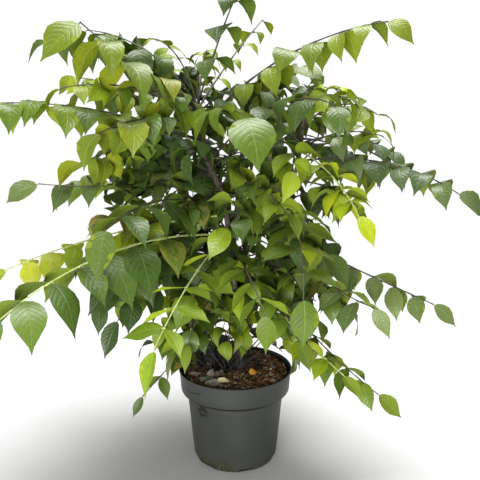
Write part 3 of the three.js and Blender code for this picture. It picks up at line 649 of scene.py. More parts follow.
def centripetal_point(four, share):
    """A point between the middle two of four guides, on a curve that goes through them."""
    gaps = [max(math.sqrt(np.linalg.norm(four[i + 1] - four[i])), LEAST_GAP) for i in range(3)]
    first = ((four[1] - four[0]) / gaps[0] - (four[2] - four[0]) / (gaps[0] + gaps[1])
             + (four[2] - four[1]) / gaps[1]) * gaps[1]
    last = ((four[2] - four[1]) / gaps[1] - (four[3] - four[1]) / (gaps[1] + gaps[2])
            + (four[3] - four[2]) / gaps[2]) * gaps[1]
    square = -3 * four[1] + 3 * four[2] - 2 * first - last
    cube = 2 * four[1] - 2 * four[2] + first + last
    return four[1] + share * (first + share * (square + share * cube))


def smooth_line(guides, count=200):
    """Even samples of the curve through the guides, with the length up to each."""
    guides = [np.array(guide, float) for guide in guides]
    ends = [2 * guides[0] - guides[1], *guides, 2 * guides[-1] - guides[-2]]
    places = []
    for sample in range(count + 1):
        along = sample / count * (len(guides) - 1)
        span = min(int(along), len(guides) - 2)
        places.append(centripetal_point(ends[span:span + 4], along - span))
    places = np.array(places)
    lengths = np.concatenate([[0.0], np.cumsum(np.linalg.norm(np.diff(places, axis=0), axis=1))])
    return places, lengths


class Cane:
    """One tapering limb: where it is, and how thick, at any share of its length."""

    def __init__(self, name, trunk=None):
        self.name = name
        self.facts = CANES[name]
        lift = GROUND if trunk is None else 0.0
        guides = [(x, y, z + lift) for x, y, z in self.facts["guides"]]
        if trunk is not None:
            guides.insert(0, trunk.place(trunk.share_at(self.facts["start"])))
        self.places, self.lengths = smooth_line(guides)

    @property
    def length(self):
        return self.lengths[-1]

    def share_at(self, height):
        return float(np.interp(height, self.places[:, 2], self.lengths)) / self.length

    def place(self, share):
        along = share * self.length
        return np.array([np.interp(along, self.lengths, self.places[:, axis]) for axis in range(3)])

    def tangent(self, share):
        before, after = max(share - TANGENT_STEP, 0.0), min(share + TANGENT_STEP, 1.0)
        return unit(self.place(after) - self.place(before))

    def radius(self, share):
        taper = mix(self.facts["low"], self.facts["tip"], share)
        if "foot" not in self.facts:
            return taper
        return taper + (self.facts["foot"] - self.facts["low"]) * math.exp(-share * CANE_FLARE)


def all_canes():
    trunk = Cane("trunk")
    canes = {"trunk": trunk}
    for name in list(CANES)[1:]:
        canes[name] = Cane(name, trunk)
    return canes


def bark_relief(angle, along, seed):
    """Share of the radius by which the bark stands out, in ridges and a finer grain."""
    x, y = math.cos(angle), math.sin(angle)
    return sum(depth * noise.noise(Vector((x * width, y * width, along / length + seed)))
               for width, length, depth in BARK_WAVES)


def leaf_scar(along, scars):
    return sum(SCAR["height"] * math.exp(-(((along - scar) / SCAR["reach"]) ** 2)) for scar in scars)


def straight_tube(name, rings, sides):
    """A closed tube one unit wide with a ring at every unit of height, pulled up from a disc."""
    tube = disc(name, sides, 1.0)
    bpy.ops.object.mode_set(mode="EDIT")
    for _ in range(rings):
        bpy.ops.mesh.extrude_region_move(TRANSFORM_OT_translate={"value": (0, 0, 1)})
    turn_outwards()
    return tube


def tip_share(share):
    """How much of its radius a cane keeps where its tip is rounded off."""
    past = max(0.0, (share - CANE_TIP["from"]) / CANE_TIP["length"])
    return math.sqrt(max(CANE_TIP["blunt"], 1 - past ** 2))


def cane_piece(cane, scars, seed, material):
    """The cane's bark: a tube bent along its line, with ridges, leaf scars and a rounded tip."""
    rings = int(cane.length / RING_STEP)
    tube = straight_tube(f"{cane.name}_bark", rings, cane.facts["sides"])
    frames = []
    side = np.array([1.0, 0.0, 0.0])
    for ring in range(rings + 1):
        share = ring / rings
        tangent = cane.tangent(share) if ring else UP
        side = unit(side - tangent * np.dot(side, tangent))
        frames.append((cane.place(share), side, np.cross(tangent, side), share))
    for vertex in tube.data.vertices:
        place, side, other, share = frames[round(vertex.co.z)]
        angle = math.atan2(vertex.co.y, vertex.co.x)
        along = share * cane.length
        relief = 1 + bark_relief(angle, along, seed) + leaf_scar(along, scars)
        out = cane.radius(share) * tip_share(share) * relief
        vertex.co = Vector((place + (side * math.cos(angle) + other * math.sin(angle)) * out) * MM)
    tube.data.materials.append(material)
    return tube


# Leaf shapes


class Leaf:
    """One feather leaf: where it leaves its cane, how it arches and what it bears."""

    def __init__(self, row, seed, canes, loose=1.0):
        (self.cane, self.at, self.turn, self.sweep, self.rise, self.fall, self.reach, self.pairs, self.blade,
         self.hang, self.slim, self.tint, *rest) = row
        self.end, self.roll = rest or (1.0, 0)
        self.seed, self.loose = seed, loose
        limp = 1.0 if loose > 1 else float(np.interp(self.at, LIMP["heights"], [0, 1]))
        self.curl, self.drop, self.end_drop = (
            mix(*LIMP[key], limp) for key in ("curls", "drops", "end_drops"))
        self.heel = canes[self.cane].place(canes[self.cane].share_at(self.at))

    def line(self, turn, steps):
        """Places and directions along the stalk at a heading, in equal steps."""
        places, tangents = [self.heel], []
        for step in range(steps):
            share = (step + 0.5) / steps
            rise = math.radians(mix(self.rise, self.fall, share ** RISE_EASE))
            heading = math.radians(turn + self.sweep * share)
            tangent = np.array([math.cos(heading) * math.cos(rise), math.sin(heading) * math.cos(rise),
                                math.sin(rise)])
            tangents.append(tangent)
            places.append(places[-1] + tangent * self.reach / steps)
        tangents.append(tangents[-1])
        return np.array(places), np.array(tangents)

    def settle(self, turn):
        self.places, self.tangents = self.line(turn, STALK["steps"])

    def along(self, share):
        step = min(int(share * STALK["steps"]), STALK["steps"] - 1)
        rest = share * STALK["steps"] - step
        return mix(self.places[step], self.places[step + 1], rest), self.tangents[step]

    def plan(self):
        """Share, side and size of each leaflet, in pairs from the heel and one at the end."""
        rows = []
        bare = PAIRS["bare"] if self.loose == 1 else INNER_BARE
        for pair in range(self.pairs):
            share = mix(bare, 1, (pair / self.pairs) ** PAIRS["ease"])
            midway = math.sin(math.pi * (pair + 1) / (self.pairs + 1))
            size = self.blade * (PAIRS["small"] + PAIRS["swell"] * midway)
            rows += [(share, 1, size), (share, -1, size)]
        return rows + [(PAIRS["end_share"], 0, self.blade * PAIRS["end_size"] * self.end)]

    def leaflet_frame(self, share, side, seed, more_hang):
        place, tangent = self.along(share)
        level = unit(tangent * [1, 1, 0])
        out = np.cross(level, UP) * side
        droop = self.hang + more_hang
        if side == 0:
            droop *= TERMINAL_HANG
        hang = math.radians(droop + spread(seed + LEAFLET_DRAWS["hang"], SWAY * self.loose))
        forward = math.radians(FORWARD + spread(seed + LEAFLET_DRAWS["forward"], SWAY * self.loose))
        lean = out * math.cos(forward) + level * math.sin(forward)
        if side == 0:
            lean = unit(np.minimum(tangent, [1, 1, 0]))
        along = unit(lean * math.cos(hang) - UP * math.sin(hang))
        outward = out if side else level
        face = UP * math.cos(hang) + outward * math.sin(hang)
        face = unit(face - along * np.dot(face, along))
        least, most = (0, ROLL) if side else (self.roll, TERMINAL_ROLL)
        roll = least + spread(seed + LEAFLET_DRAWS["roll"], most)
        face = turned(face, along, math.radians(roll * self.loose))
        return place, along, face, np.cross(along, face)


def stalk_radius(share):
    heel = (STALK["heel"] - STALK["low"]) * math.exp(-share * STALK["flare"])
    return mix(STALK["low"], STALK["tip"], share) + heel


def filled_rows(sectors, first_seed, fill, variation, tints):
    """Rows of leaves that each sector's cane bears up its length, turned by the golden angle."""

    def varied(seed, key, value):
        return value + spread(seed + FILL_DRAWS[key], variation[key])

    rows = []
    for index, (cane, low, high, count, centre, width, reach) in enumerate(sectors):
        for order in range(count):
            seed = first_seed + SEEDS["sector"] * index + order
            height = (order + 0.5) / count
            turn = ((order + 1) * GOLDEN_SHARE + SEEDS["sector_turn"] * index) % 1
            rise = mix(fill["low_rise"], fill["high_rise"], height ** FILL["ease"])
            fall = mix(fill["low_fall"], fill["high_fall"], height)
            tint = tints[int(hashed(seed + FILL_DRAWS["tint"]) * len(tints))]
            rows.append((
                cane, varied(seed, "height", mix(low, high, height)), centre + (turn - 0.5) * width, 0,
                varied(seed, "rise", rise), varied(seed, "fall", fall), varied(seed, "reach", reach),
                fill["pairs"], varied(seed, "blade", fill["blade"]), varied(seed, "hang", fill["hang"]),
                SLIM, tint))
    return rows


def outer_leaves(canes):
    """The leaves of the solids: each takes the heading at which its node's stalk lies."""
    rows = SHOWN + filled_rows(FILLED, SEEDS["filled"], FILL, FILL_SPREAD, FILL_TINTS)
    names = sorted(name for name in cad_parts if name.startswith("leaf_"))
    leaves = []
    for index, row in enumerate(rows):
        if len(leaves) == len(names):
            break
        leaf = Leaf(row, SEEDS["leaf"] * index, canes)
        leaf.node = names[len(leaves)]
        points = node_points(leaf.node)
        errors = []
        for turn in RETRY_TURNS:
            rings = leaf.line(leaf.turn + turn, STALK["rule_steps"])[0][MATCH_RINGS]
            gaps = [np.min(np.linalg.norm(points - ring, axis=1)) for ring in rings]
            errors.append(float(np.median(gaps)))
        if min(errors) > MATCH_GAP:
            continue
        leaf.settle(leaf.turn + RETRY_TURNS[int(np.argmin(errors))])
        leaves.append(leaf)
    if len(leaves) != len(names):
        raise RuntimeError(f"{len(leaves)} leaves found for {len(names)} solids")
    return leaves


def inner_leaves(canes, settings):
    fill = {**INNER_FILL, "pairs": settings.inner_pairs, "blade": settings.inner_blade / MM}
    rows = filled_rows(INNER, INNER_SEED, fill, INNER_SPREAD, INNER_TINTS)
    leaves = []
    for index, row in enumerate(rows):
        leaf = Leaf(row, INNER_SEED + SEEDS["leaf"] * index, canes, INNER_LOOSE)
        leaf.settle(leaf.turn)
        leaves.append(leaf)
    return leaves


def coarse_blade(place, along, face, side, length, slim):
    """Corners of the six triangles that stand for a leaflet when its neighbours are kept clear of it."""
    bend = COARSE_BEND * BLADE_SHARES
    ahead, down = length * BLADE_SHARES * (1 - bend ** 2 / 6), length * BLADE_SHARES * bend / 2
    return place + np.outer(ahead, along) - np.outer(down, face) + np.outer(BLADE_SIDES * length * slim, side)


class Clearance:
    """Keeps the leaflets clear of each other, of the stalks and of the solids of cane and pot."""

    def __init__(self, solids):
        self.solids = [(node_points(name), node_tree_of(name)) for name in solids]
        self.boxes = np.empty((0, 6))
        self.trees = []
        self.owners = []

    @staticmethod
    def box(points):
        return np.concatenate([points.min(0) - BOX_MARGIN, points.max(0) + BOX_MARGIN])

    def meets(self, points, owner):
        box = self.box(points)
        tree = BVHTree.FromPolygons([Vector(point) for point in points], BLADE_FACES)
        for corners, solid in self.solids:
            near = np.all(box[:3] < corners.max(0)) and np.all(box[3:] > corners.min(0))
            if near and solid.overlap(tree):
                return tree, True
        if len(self.trees):
            near = np.all(self.boxes[:, :3] < box[3:], axis=1) & np.all(self.boxes[:, 3:] > box[:3], axis=1)
            for index in np.flatnonzero(near):
                if self.owners[index] != owner and self.trees[index].overlap(tree):
                    return tree, True
        return tree, False

    def keep(self, points, tree, owner):
        self.boxes = np.vstack([self.boxes, self.box(points)])
        self.trees.append(tree)
        self.owners.append(owner)

    def keep_stalk(self, leaf, owner):
        """A stalk as a chain of short three-sided boxes."""
        places = leaf.places[1::STALK_BOX["every"]]
        for start, end in zip(places[:-1], places[1:]):
            direction = unit(end - start)
            side = unit(np.cross(direction, UP + NUDGE))
            other = np.cross(direction, side)
            ring = [side * STALK_BOX["side"], other * STALK_BOX["side"],
                    -(side + other) * STALK_BOX["corner"]]
            points = np.array([start + offset for offset in ring] + [end + offset for offset in ring])
            tree = BVHTree.FromPolygons([Vector(point) for point in points], STALK_BOX_FACES)
            self.keep(points, tree, owner)


def dealt_leaflets(leaves, clearance, first_owner):
    """Every leaflet that keeps clear of its neighbours: where it hangs, its size and how it bends."""
    dealt = []
    for number, leaf in enumerate(leaves):
        owner = first_owner + number
        for order, (share, side, size) in enumerate(leaf.plan()):
            seed = leaf.seed + order * SEEDS["leaflet"]
            for more_hang, smaller in RETRY_HANGS:
                place, along, face, across = leaf.leaflet_frame(share, side, seed, more_hang)
                length = size * smaller * (1 + spread(seed + LEAFLET_DRAWS["length"], SIZE_SPREAD))
                points = coarse_blade(place, along, face, across, length, leaf.slim)
                if points[:, 2].min() < LOWEST_TIP:
                    continue
                tree, met = clearance.meets(points, owner)
                if met:
                    continue
                clearance.keep(points, tree, owner)
                droop = math.radians(leaf.hang if side else leaf.hang * TERMINAL_HANG)
                dealt.append({"leaf": leaf, "place": place, "along": along, "face": face, "side": across,
                              "length": length, "slim": leaf.slim, "seed": seed, "share": share,
                              "bend": leaf.curl * (ARCH["level"] + ARCH["hanging"] * droop),
                              "drop": leaf.drop if side else leaf.end_drop})
                break
    return dealt


def half_width(shares):
    """Outline of a leaflet: broadest below its middle, drawn out to a drip tip."""
    swell = np.sin(np.pi * np.clip(shares, 0, 1) ** OUTLINE["shift"])
    return np.clip(swell, 0, 1) ** (OUTLINE["blunt"] + OUTLINE["drawn"] * shares)


def blade_template():
    """Corner numbers of a closed leaflet's faces, and the side of each: 0 above, 1 below."""
    rows, columns = len(ROWS) - 2, len(COLUMNS)
    heel, tip = 0, 1
    top = np.arange(rows * columns).reshape(rows, columns) + 2
    under = top.copy()
    inner = np.arange(rows * (columns - 2)).reshape(rows, columns - 2) + 2 + rows * columns
    under[:, 1:-1] = inner
    faces, sides = [], []
    for grid, upper in ((top, True), (under, False)):
        for column in range(columns - 1):
            strip = [(heel, grid[0, column + 1], grid[0, column])]
            for row in range(rows - 1):
                strip.append((grid[row, column], grid[row, column + 1], grid[row + 1, column + 1],
                              grid[row + 1, column]))
            strip.append((grid[-1, column], grid[-1, column + 1], tip))
            for corners in strip:
                corners = [int(corner) for corner in corners]
                faces.append(corners if upper else corners[::-1])
                sides.append(0 if upper else 1)
    return faces, np.array(sides)


BLADE_TEMPLATE, FACE_SIDES = blade_template()


def arched(bends, drops):
    """Run, rise and slope of each leaflet's midline at its rows, for a leaflet one unit long."""
    shares = np.linspace(0, 1, ARCH["steps"] + 1)
    bent = np.clip((shares - ARCH["from"]) / (ARCH["to"] - ARCH["from"]), 0, 1)
    bent = bent * bent * (3 - 2 * bent)
    first = bends * bent.mean() - drops
    slopes = first[:, None] - bends[:, None] * bent
    middles = (slopes[:, 1:] + slopes[:, :-1]) / 2
    ends = np.zeros((len(bends), 1))
    run = np.hstack([ends, np.cumsum(np.cos(middles), axis=1)]) / ARCH["steps"]
    rise = np.hstack([ends, np.cumsum(np.sin(middles), axis=1)]) / ARCH["steps"]
    picks = np.round(ROWS * ARCH["steps"]).astype(int)
    return run[:, picks], rise[:, picks], slopes[:, picks]


def blade_points(dealt, settings):
    """Corner points of every leaflet, as an array of leaflets by corners by axes."""

    def listed(key):
        return np.array([leaflet[key] for leaflet in dealt])[:, None, None]

    def drawn(key):
        number, low, high = BLADE_DRAWS[key]
        draws = [mix(low, high, hashed(leaflet["seed"] + number)) for leaflet in dealt]
        return np.array(draws)[:, None, None]

    petiolule = settings.petiolule / MM
    length = listed("length") - petiolule
    slim = listed("slim") * drawn("width")
    swing = drawn("swing")[..., None]
    face = listed("face")
    along = listed("along") * np.cos(swing) + listed("side") * np.sin(swing)
    side = listed("side") * np.cos(swing) - listed("along") * np.sin(swing)
    root = listed("place") + along * petiolule
    shares = ROWS[None, :, None]
    across = COLUMNS[None, None, :]
    bends = drawn("bend").ravel() * settings.curl * listed("bend").ravel()
    run, rise, slope = (array[:, :, None] for array in arched(bends, listed("drop").ravel()))
    twist = drawn("twist") * shares
    fold = drawn("fold") * settings.fold
    width = half_width(shares) * length * slim * 0.5
    wave = np.sin(2 * np.pi * (EDGE_WAVES * shares + drawn("phase")))
    ripple = wave * across ** 2 * drawn("ripple") * length * half_width(shares)
    lift = (np.abs(across) - FOLD_LINE) * width * fold + ripple
    sickle = drawn("sickle") * length * shares ** 2
    sideways = across * width * np.cos(twist) - lift * np.sin(twist) + sickle
    upwards = lift * np.cos(twist) + across * width * np.sin(twist)

    def placed(extra):
        height = upwards + extra
        ahead = length * run - height * np.sin(slope)
        up = length * rise + height * np.cos(slope)
        ahead, up, wide = (array[..., None] for array in np.broadcast_arrays(ahead, up, sideways))
        return root + along * ahead + face * up + side * wide

    thick = settings.blade_thickness / MM
    upper, under = placed(thick / 2), placed(-thick / 2)
    rim = (upper + under) / 2
    upper[:, :, 0], upper[:, :, -1] = rim[:, :, 0], rim[:, :, -1]
    middle = len(COLUMNS) // 2
    ends = rim[:, [0, -1], middle]
    top = upper[:, 1:-1].reshape(len(dealt), -1, 3)
    below = under[:, 1:-1, 1:-1].reshape(len(dealt), -1, 3)
    return np.concatenate([ends, top, below], axis=1)


def template_map():
    """The leaflet's own map at each corner of its template: across and along."""
    inside = [(column / 2 + 0.5, row) for row in ROWS[1:-1] for column in COLUMNS]
    below = [(column / 2 + 0.5, row) for row in ROWS[1:-1] for column in COLUMNS[1:-1]]
    return np.array([(0.5, 0.0), (0.5, 1.0), *inside, *below])


def blades_piece(name, dealt, materials, face_materials, tones, ages, settings):
    """One mesh of many leaflets, each with its own tone and age."""
    points = blade_points(dealt, settings)
    corners = points.shape[1]
    faces = [[corner + start for corner in face] for start in range(0, len(dealt) * corners, corners)
             for face in BLADE_TEMPLATE]
    corner_map = template_map()[[corner for face in BLADE_TEMPLATE for corner in face]]
    attributes = {"tone": np.repeat(tones, corners), "age": np.repeat(ages, corners)}
    return mesh_piece(name, points.reshape(-1, 3), faces, materials, face_materials,
                      np.tile(corner_map, (len(dealt), 1)), attributes)


def leaflets_piece(name, dealt, materials, settings, tint_of):
    """One mesh of many leaflets, each with its tint's two materials."""
    labels = list(TINTS)
    tints = np.array([labels.index(tint_of(leaflet)) for leaflet in dealt])
    face_materials = (2 * tints[:, None] + FACE_SIDES[None, :]).ravel()
    tones = [hashed(leaflet["seed"] + LEAFLET_DRAWS["tone"]) for leaflet in dealt]
    draws = [hashed(leaflet["seed"] + LEAFLET_DRAWS["age"]) for leaflet in dealt]
    ages = [max(0.0, draw - AGEING["above"]) * AGEING["gain"] for draw in draws]
    return blades_piece(name, dealt, materials, face_materials, tones, ages, settings)


def tube_points(places, radii, sides):
    """Rings of points round a chain of places."""
    points = []
    side = None
    for ring, place in enumerate(places):
        tangent = unit(places[min(ring + 1, len(places) - 1)] - places[max(ring - 1, 0)])
        if side is None:
            side = unit(np.cross([0.0, 1.0, NUDGE], tangent))
        side = unit(side - tangent * np.dot(side, tangent))
        other = np.cross(tangent, side)
        for corner in range(sides):
            angle = 2 * math.pi * corner / sides
            points.append(place + radii[ring] * (side * math.cos(angle) + other * math.sin(angle)))
    return points


def tube_faces(rings, sides, start):
    faces = []
    for ring in range(rings - 1):
        for corner in range(sides):
            here, after = start + ring * sides + corner, start + ring * sides + (corner + 1) % sides
            faces.append((here, after, after + sides, here + sides))
    last = start + (rings - 1) * sides
    faces.append(tuple(range(start + sides - 1, start - 1, -1)))
    faces.append(tuple(range(last, last + sides)))
    return faces


def tubes_piece(name, tubes, materials):
    """One mesh of many tubes, each given by its places, radii, sides and the number of its material."""
    points, faces, face_materials = [], [], []
    for places, radii, sides, material in tubes:
        faces.extend(tube_faces(len(places), sides, len(points)))
        points.extend(tube_points(places, radii, sides))
        face_materials.extend([material] * (len(faces) - len(face_materials)))
    return mesh_piece(name, points, faces, materials, face_materials)


def stalks_piece(name, leaves, dealt, materials, settings):
    """One mesh of leaf stalks, swollen where pairs join, and of the leaflets' short stalks."""
    labels = list(STALK_COLOURS)
    tubes = []
    for leaf in leaves:
        shares = np.linspace(0, 1, STALK["steps"] + 1)
        joints = {share for share, _, _ in leaf.plan()}
        radii = [stalk_radius(share) * (1 + JOINT["swell"] * any(abs(share - joint) < JOINT["reach"]
                                                                 for joint in joints)) for share in shares]
        label = TINTS[leaf.tint][2] if leaf.loose == 1 else "dusky"
        tubes.append((leaf.places, radii, STALK["sides"], labels.index(label)))
    for leaflet in dealt:
        reach = settings.petiolule / MM + PETIOLULE["overlap"]
        places = [leaflet["place"] + leaflet["along"] * reach * share for share in PETIOLULE["shares"]]
        label = TINTS[leaflet["leaf"].tint][2]
        tubes.append((places, PETIOLULE["radii"], PETIOLULE["sides"], labels.index(label)))
    return tubes_piece(name, tubes, materials)


# Settings


def length_value(label, text, default):
    return FloatProperty(name=label, description=text, default=default, min=0.0, max=10.0, precision=4,
                         unit="LENGTH")


def colour_value(label, text, default):
    return FloatVectorProperty(name=label, description=text, default=default, size=3, min=0.0, max=1.0,
                               subtype="COLOR")


def count_value(label, text, default, low=0):
    return IntProperty(name=label, description=text, default=default, min=low)


class PotSettings(bpy.types.PropertyGroup):
    """Finish of the pot"""

    plastic: colour_value("Plastic", "Colour of the pot's plastic", (0.033, 0.036, 0.033))
    dust: colour_value("Dust", "Colour of the dust and dried splashes on the pot", (0.125, 0.118, 0.098))
    algae: colour_value("Algae", "Colour of the green stain round the pot's foot", (0.062, 0.064, 0.028))


class SoilSettings(bpy.types.PropertyGroup):
    """Bed of soil and the bark and litter on it"""

    chips: count_value("Bark chips", "How many chips of bark lie on the soil", 3600)
    chip_length: length_value("Chip length", "Length of a middling chip", 0.0078)
    scraps: count_value("Dry leaves", "How many dry scraps of leaf lie on the soil", 28)
    black_scraps: count_value("Black litter", "How many black dead leaves lie behind the trunk", 58)
    rim_scraps: count_value("Scraps at the rim", "How many grey scraps lie at the front left rim", 7)
    twigs: count_value("Dead twigs", "How many dead twigs stand in the soil", 90)


class CaneSettings(bpy.types.PropertyGroup):
    """Bark of the canes"""

    bark: colour_value("Bark", "Main colour of the bark", (0.145, 0.108, 0.078))
    furrow: colour_value("Furrows", "Colour of the bark's furrows", (0.045, 0.032, 0.023))


class LeafSettings(bpy.types.PropertyGroup):
    """Shape of the leaflets and number of inner leaves' leaflets"""

    petiolule: length_value("Leaflet stalk", "Length of the short stalk of a leaflet", 0.004)
    blade_thickness: length_value("Leaf thickness", "Thickness of a leaflet's blade", 0.0007)
    curl: FloatProperty(name="Curl", description="How far a leaflet bends down to its tip", default=1.3)
    fold: FloatProperty(name="Fold", description="How steeply a leaflet's halves rise from its midrib",
                        default=0.22)
    inner_blade: length_value("Inner leaflet", "Length of a middling leaflet inside the crown", 0.085)
    inner_pairs: count_value("Inner pairs", "Pairs of leaflets on an inner leaf", 4, 1)


class StageSettings(bpy.types.PropertyGroup):
    """Floor and light"""

    floor: colour_value("Floor", "Colour of the floor", (0.74, 0.74, 0.74))
    sky: FloatProperty(name="Sky", description="Strength of the soft light from all round", default=0.29,
                       min=0.0)
    key_power: FloatProperty(name="Key light", description="Power of the soft light overhead", default=545.0,
                             min=0.0, unit="POWER")


# Pot


def ring_up(height, radius, last_height, last_radius):
    bpy.ops.mesh.extrude_region_move(TRANSFORM_OT_translate={"value": (0, 0, (height - last_height) * MM)})
    scale = radius / last_radius
    bpy.ops.transform.resize(value=(scale, scale, 1), center_override=(0, 0, height * MM))


def pot_shell():
    """The pot pulled up from a disc through its outer profile, over the rim and down inside."""
    profile = POT_OUTER + POT_INNER
    shell = disc("nursery_pot", POT_SIDES, profile[0][0] * MM)
    bpy.ops.object.mode_set(mode="EDIT")
    for (last_radius, last_height), (radius, height) in zip(profile[:-1], profile[1:]):
        ring_up(height, radius, last_height, last_radius)
    turn_outwards()
    return shell


def cut_notches(shell):
    """Drain notches round the foot, cut with rounded blocks."""
    for index in range(NOTCH["count"]):
        angle = math.radians(NOTCH["first"] + index * 360 / NOTCH["count"])
        place = (math.cos(angle) * NOTCH["radius"] * MM, math.sin(angle) * NOTCH["radius"] * MM, 0)
        bpy.ops.object.select_all(action="DESELECT")
        bpy.ops.mesh.primitive_cube_add(size=1, location=place, rotation=(0, 0, angle))
        block = bpy.context.active_object
        block.scale = (NOTCH["depth"] * MM, NOTCH["width"] * MM, 2 * NOTCH["rise"] * MM)
        bpy.ops.object.transform_apply(location=True, rotation=True, scale=True)
        rounding = block.modifiers.new("rounding", "BEVEL")
        rounding.width, rounding.segments = NOTCH["rounding"] * MM, NOTCH["segments"]
        bpy.ops.object.modifier_apply(modifier="rounding")
        cut = shell.modifiers.new("notch", "BOOLEAN")
        cut.operation, cut.object, cut.solver = "DIFFERENCE", block, "EXACT"
        only(shell)
        bpy.ops.object.modifier_apply(modifier="notch")
        bpy.data.objects.remove(block)


def scuff_mask(finish):
    """Dark rubbed marks under the collar at the left front."""
    spot = finish.put("ShaderNodeVectorMath", {0: finish.place, 1: SCUFF["place"]}, operation="DISTANCE")
    near = finish.ramp(spot.outputs["Value"], SCUFF["core"], SCUFF["edge"], 1.0, 0.0)
    return finish.times(near, finish.patches("pot scuff"))


def notch_shade_mask(finish, height):
    """Painted shade on the walls inside the drain notches: low down and further in than the foot's outside.
    """
    flat = finish.put("ShaderNodeVectorMath", {0: finish.place, 1: (1.0, 1.0, 0.0)}, operation="MULTIPLY")
    out = finish.put("ShaderNodeVectorMath", {0: flat.outputs["Vector"]}, operation="LENGTH")
    inside = finish.ramp(out.outputs["Value"], *NOTCH_WALLS["radius"], 1.0, 0.0)
    return finish.times(inside, finish.ramp(height, *NOTCH_WALLS["height"], 1.0, 0.0))


def crease_shade_mask(finish, parts):
    """Painted shade along a thin slanting crease in the collar at the left."""
    slant = finish.maths("ADD", parts["Z"], finish.times(parts["X"], CREASE_SLANT))
    left, front = finish.ramp(parts["X"], *CREASE_LEFT), finish.ramp(parts["Y"], *CREASE_FRONT)
    return finish.times(finish.line(slant, **CREASE), finish.times(left, front))


def stain_mask(finish, parts):
    """A green stain low down at the left."""
    left = finish.ramp(parts["X"], STAIN["right"], STAIN["left"])
    low = finish.ramp(parts["Z"], STAIN["low"], STAIN["high"], 1.0, 0.0)
    return finish.times(finish.times(left, low), finish.patches("pot stain"))


def pot_material(settings):
    """Moulded matte plastic: dust, dried splashes, scuffs, algae at the foot; painted shade at collar, crease
    and notches.
    """
    finish = Finish("Pot plastic")
    parts = finish.axes(finish.place)
    height = parts["Z"]
    cloud = finish.patches("pot cloud")
    speck = finish.patches("pot speck")
    low = finish.times(finish.ramp(height, 0.0, DUST["up_to"], 1.0, 0.0), DUST["low"])
    stain = stain_mask(finish, parts)
    crust = finish.patches("pot crust")
    # Scuff marks are dirt; the mark along the crease is painted shade
    scuffs_and_crease_shade = finish.maths("MAXIMUM", scuff_mask(finish), crease_shade_mask(finish, parts))
    base = tuple(settings.plastic)
    for share, colour in (
        (finish.times(cloud, CLOUD["share"]), scaled(settings.plastic, CLOUD["paler"])),
        (finish.times(finish.maths("ADD", speck, low), DUST["share"]), settings.dust),
        (stain, settings.algae),
        (finish.times(stain, crust), POT_DIRT_AND_SHADE["crust"]),
        (scuffs_and_crease_shade, POT_DIRT_AND_SHADE["marks"]),
        # Painted shade under the collar's flare
        (finish.line(height, **COLLAR_SHADE_LINE), POT_DIRT_AND_SHADE["line"]),
        (notch_shade_mask(finish, height), POT_DIRT_AND_SHADE["notch"]),
    ):
        base = finish.blend(share, base, colour)
    grain = finish.times(finish.noise(POT_GRAIN["scale"]), POT_GRAIN["share"])
    relief = finish.maths("ADD", grain, finish.noise(*POT_RINGS))
    finish.shader.inputs["Specular IOR Level"].default_value = POT_GLOSS
    return finish.done(base, finish.between(cloud, *ROUGH["pot"]), relief, *RELIEF["pot"])


class SHRUB_OT_pot(bpy.types.Operator):
    """Builds the nursery pot with its collar, rim and drain notches"""

    bl_idname = "shrub.pot"
    bl_label = "Nursery pot"

    def execute(self, context):
        shell = pot_shell()
        cut_notches(shell)
        shell.data.materials.append(pot_material(context.scene.shrub_pot))
        finish_piece(shell, "pot", "pot", angle=28)
        return {"FINISHED"}


# Soil


def soil_height(x, y):
    """Height of the bed in millimetres, lumpy by a few."""
    radii, heights = zip(*SOIL_LEVELS)
    level = float(np.interp(math.hypot(x, y), radii, heights))
    return level + sum(noise.noise(Vector((x / length, y / length, place))) * height
                       for length, place, height in SOIL_LUMPS)


def soil_bed():
    """The bed: a flat disc whose upper side is drawn in ring by ring and made lumpy."""
    bed = disc("soil_bed", SOIL_DISC["sides"], SOIL_DISC["radius"] * MM, SOIL_DISC["height"] * MM)
    bpy.ops.object.transform_apply(location=True)
    bpy.ops.object.mode_set(mode="EDIT")
    bpy.ops.mesh.extrude_region_move(TRANSFORM_OT_translate={"value": (0, 0, 0)})
    for _ in range(SOIL_DISC["insets"]):
        bpy.ops.mesh.inset(thickness=SOIL_DISC["inset"] * MM)
    bpy.ops.object.mode_set(mode="OBJECT")
    for vertex in bed.data.vertices:
        x, y = vertex.co.x / MM, vertex.co.y / MM
        if math.hypot(x, y) < SOIL_DISC["lumpy"]:
            vertex.co.z = soil_height(x, y) * MM
    return bed


def soil_material():
    finish = Finish("Damp compost")
    crumb = finish.patches("compost crumb")
    patch = finish.patches("compost patch")
    base = finish.blend(crumb, SOIL_COLOURS["hollow"], SOIL_COLOURS["crumb"])
    base = finish.blend(finish.times(patch, PATCH_SHARE), base, SOIL_COLOURS["patch"])
    return finish.done(base, finish.between(crumb, *ROUGH["compost"]), crumb, *RELIEF["compost"])


def chip_materials():
    materials = []
    for name, (colour, _) in CHIP_COLOURS.items():
        finish = Finish(name)
        grain = finish.patches("chip grain")
        base = finish.blend(grain, scaled(colour, CHIP_FURROW), colour)
        materials.append(finish.done(base, finish.between(grain, *ROUGH["chip"]), grain, *RELIEF["chip"]))
    return materials


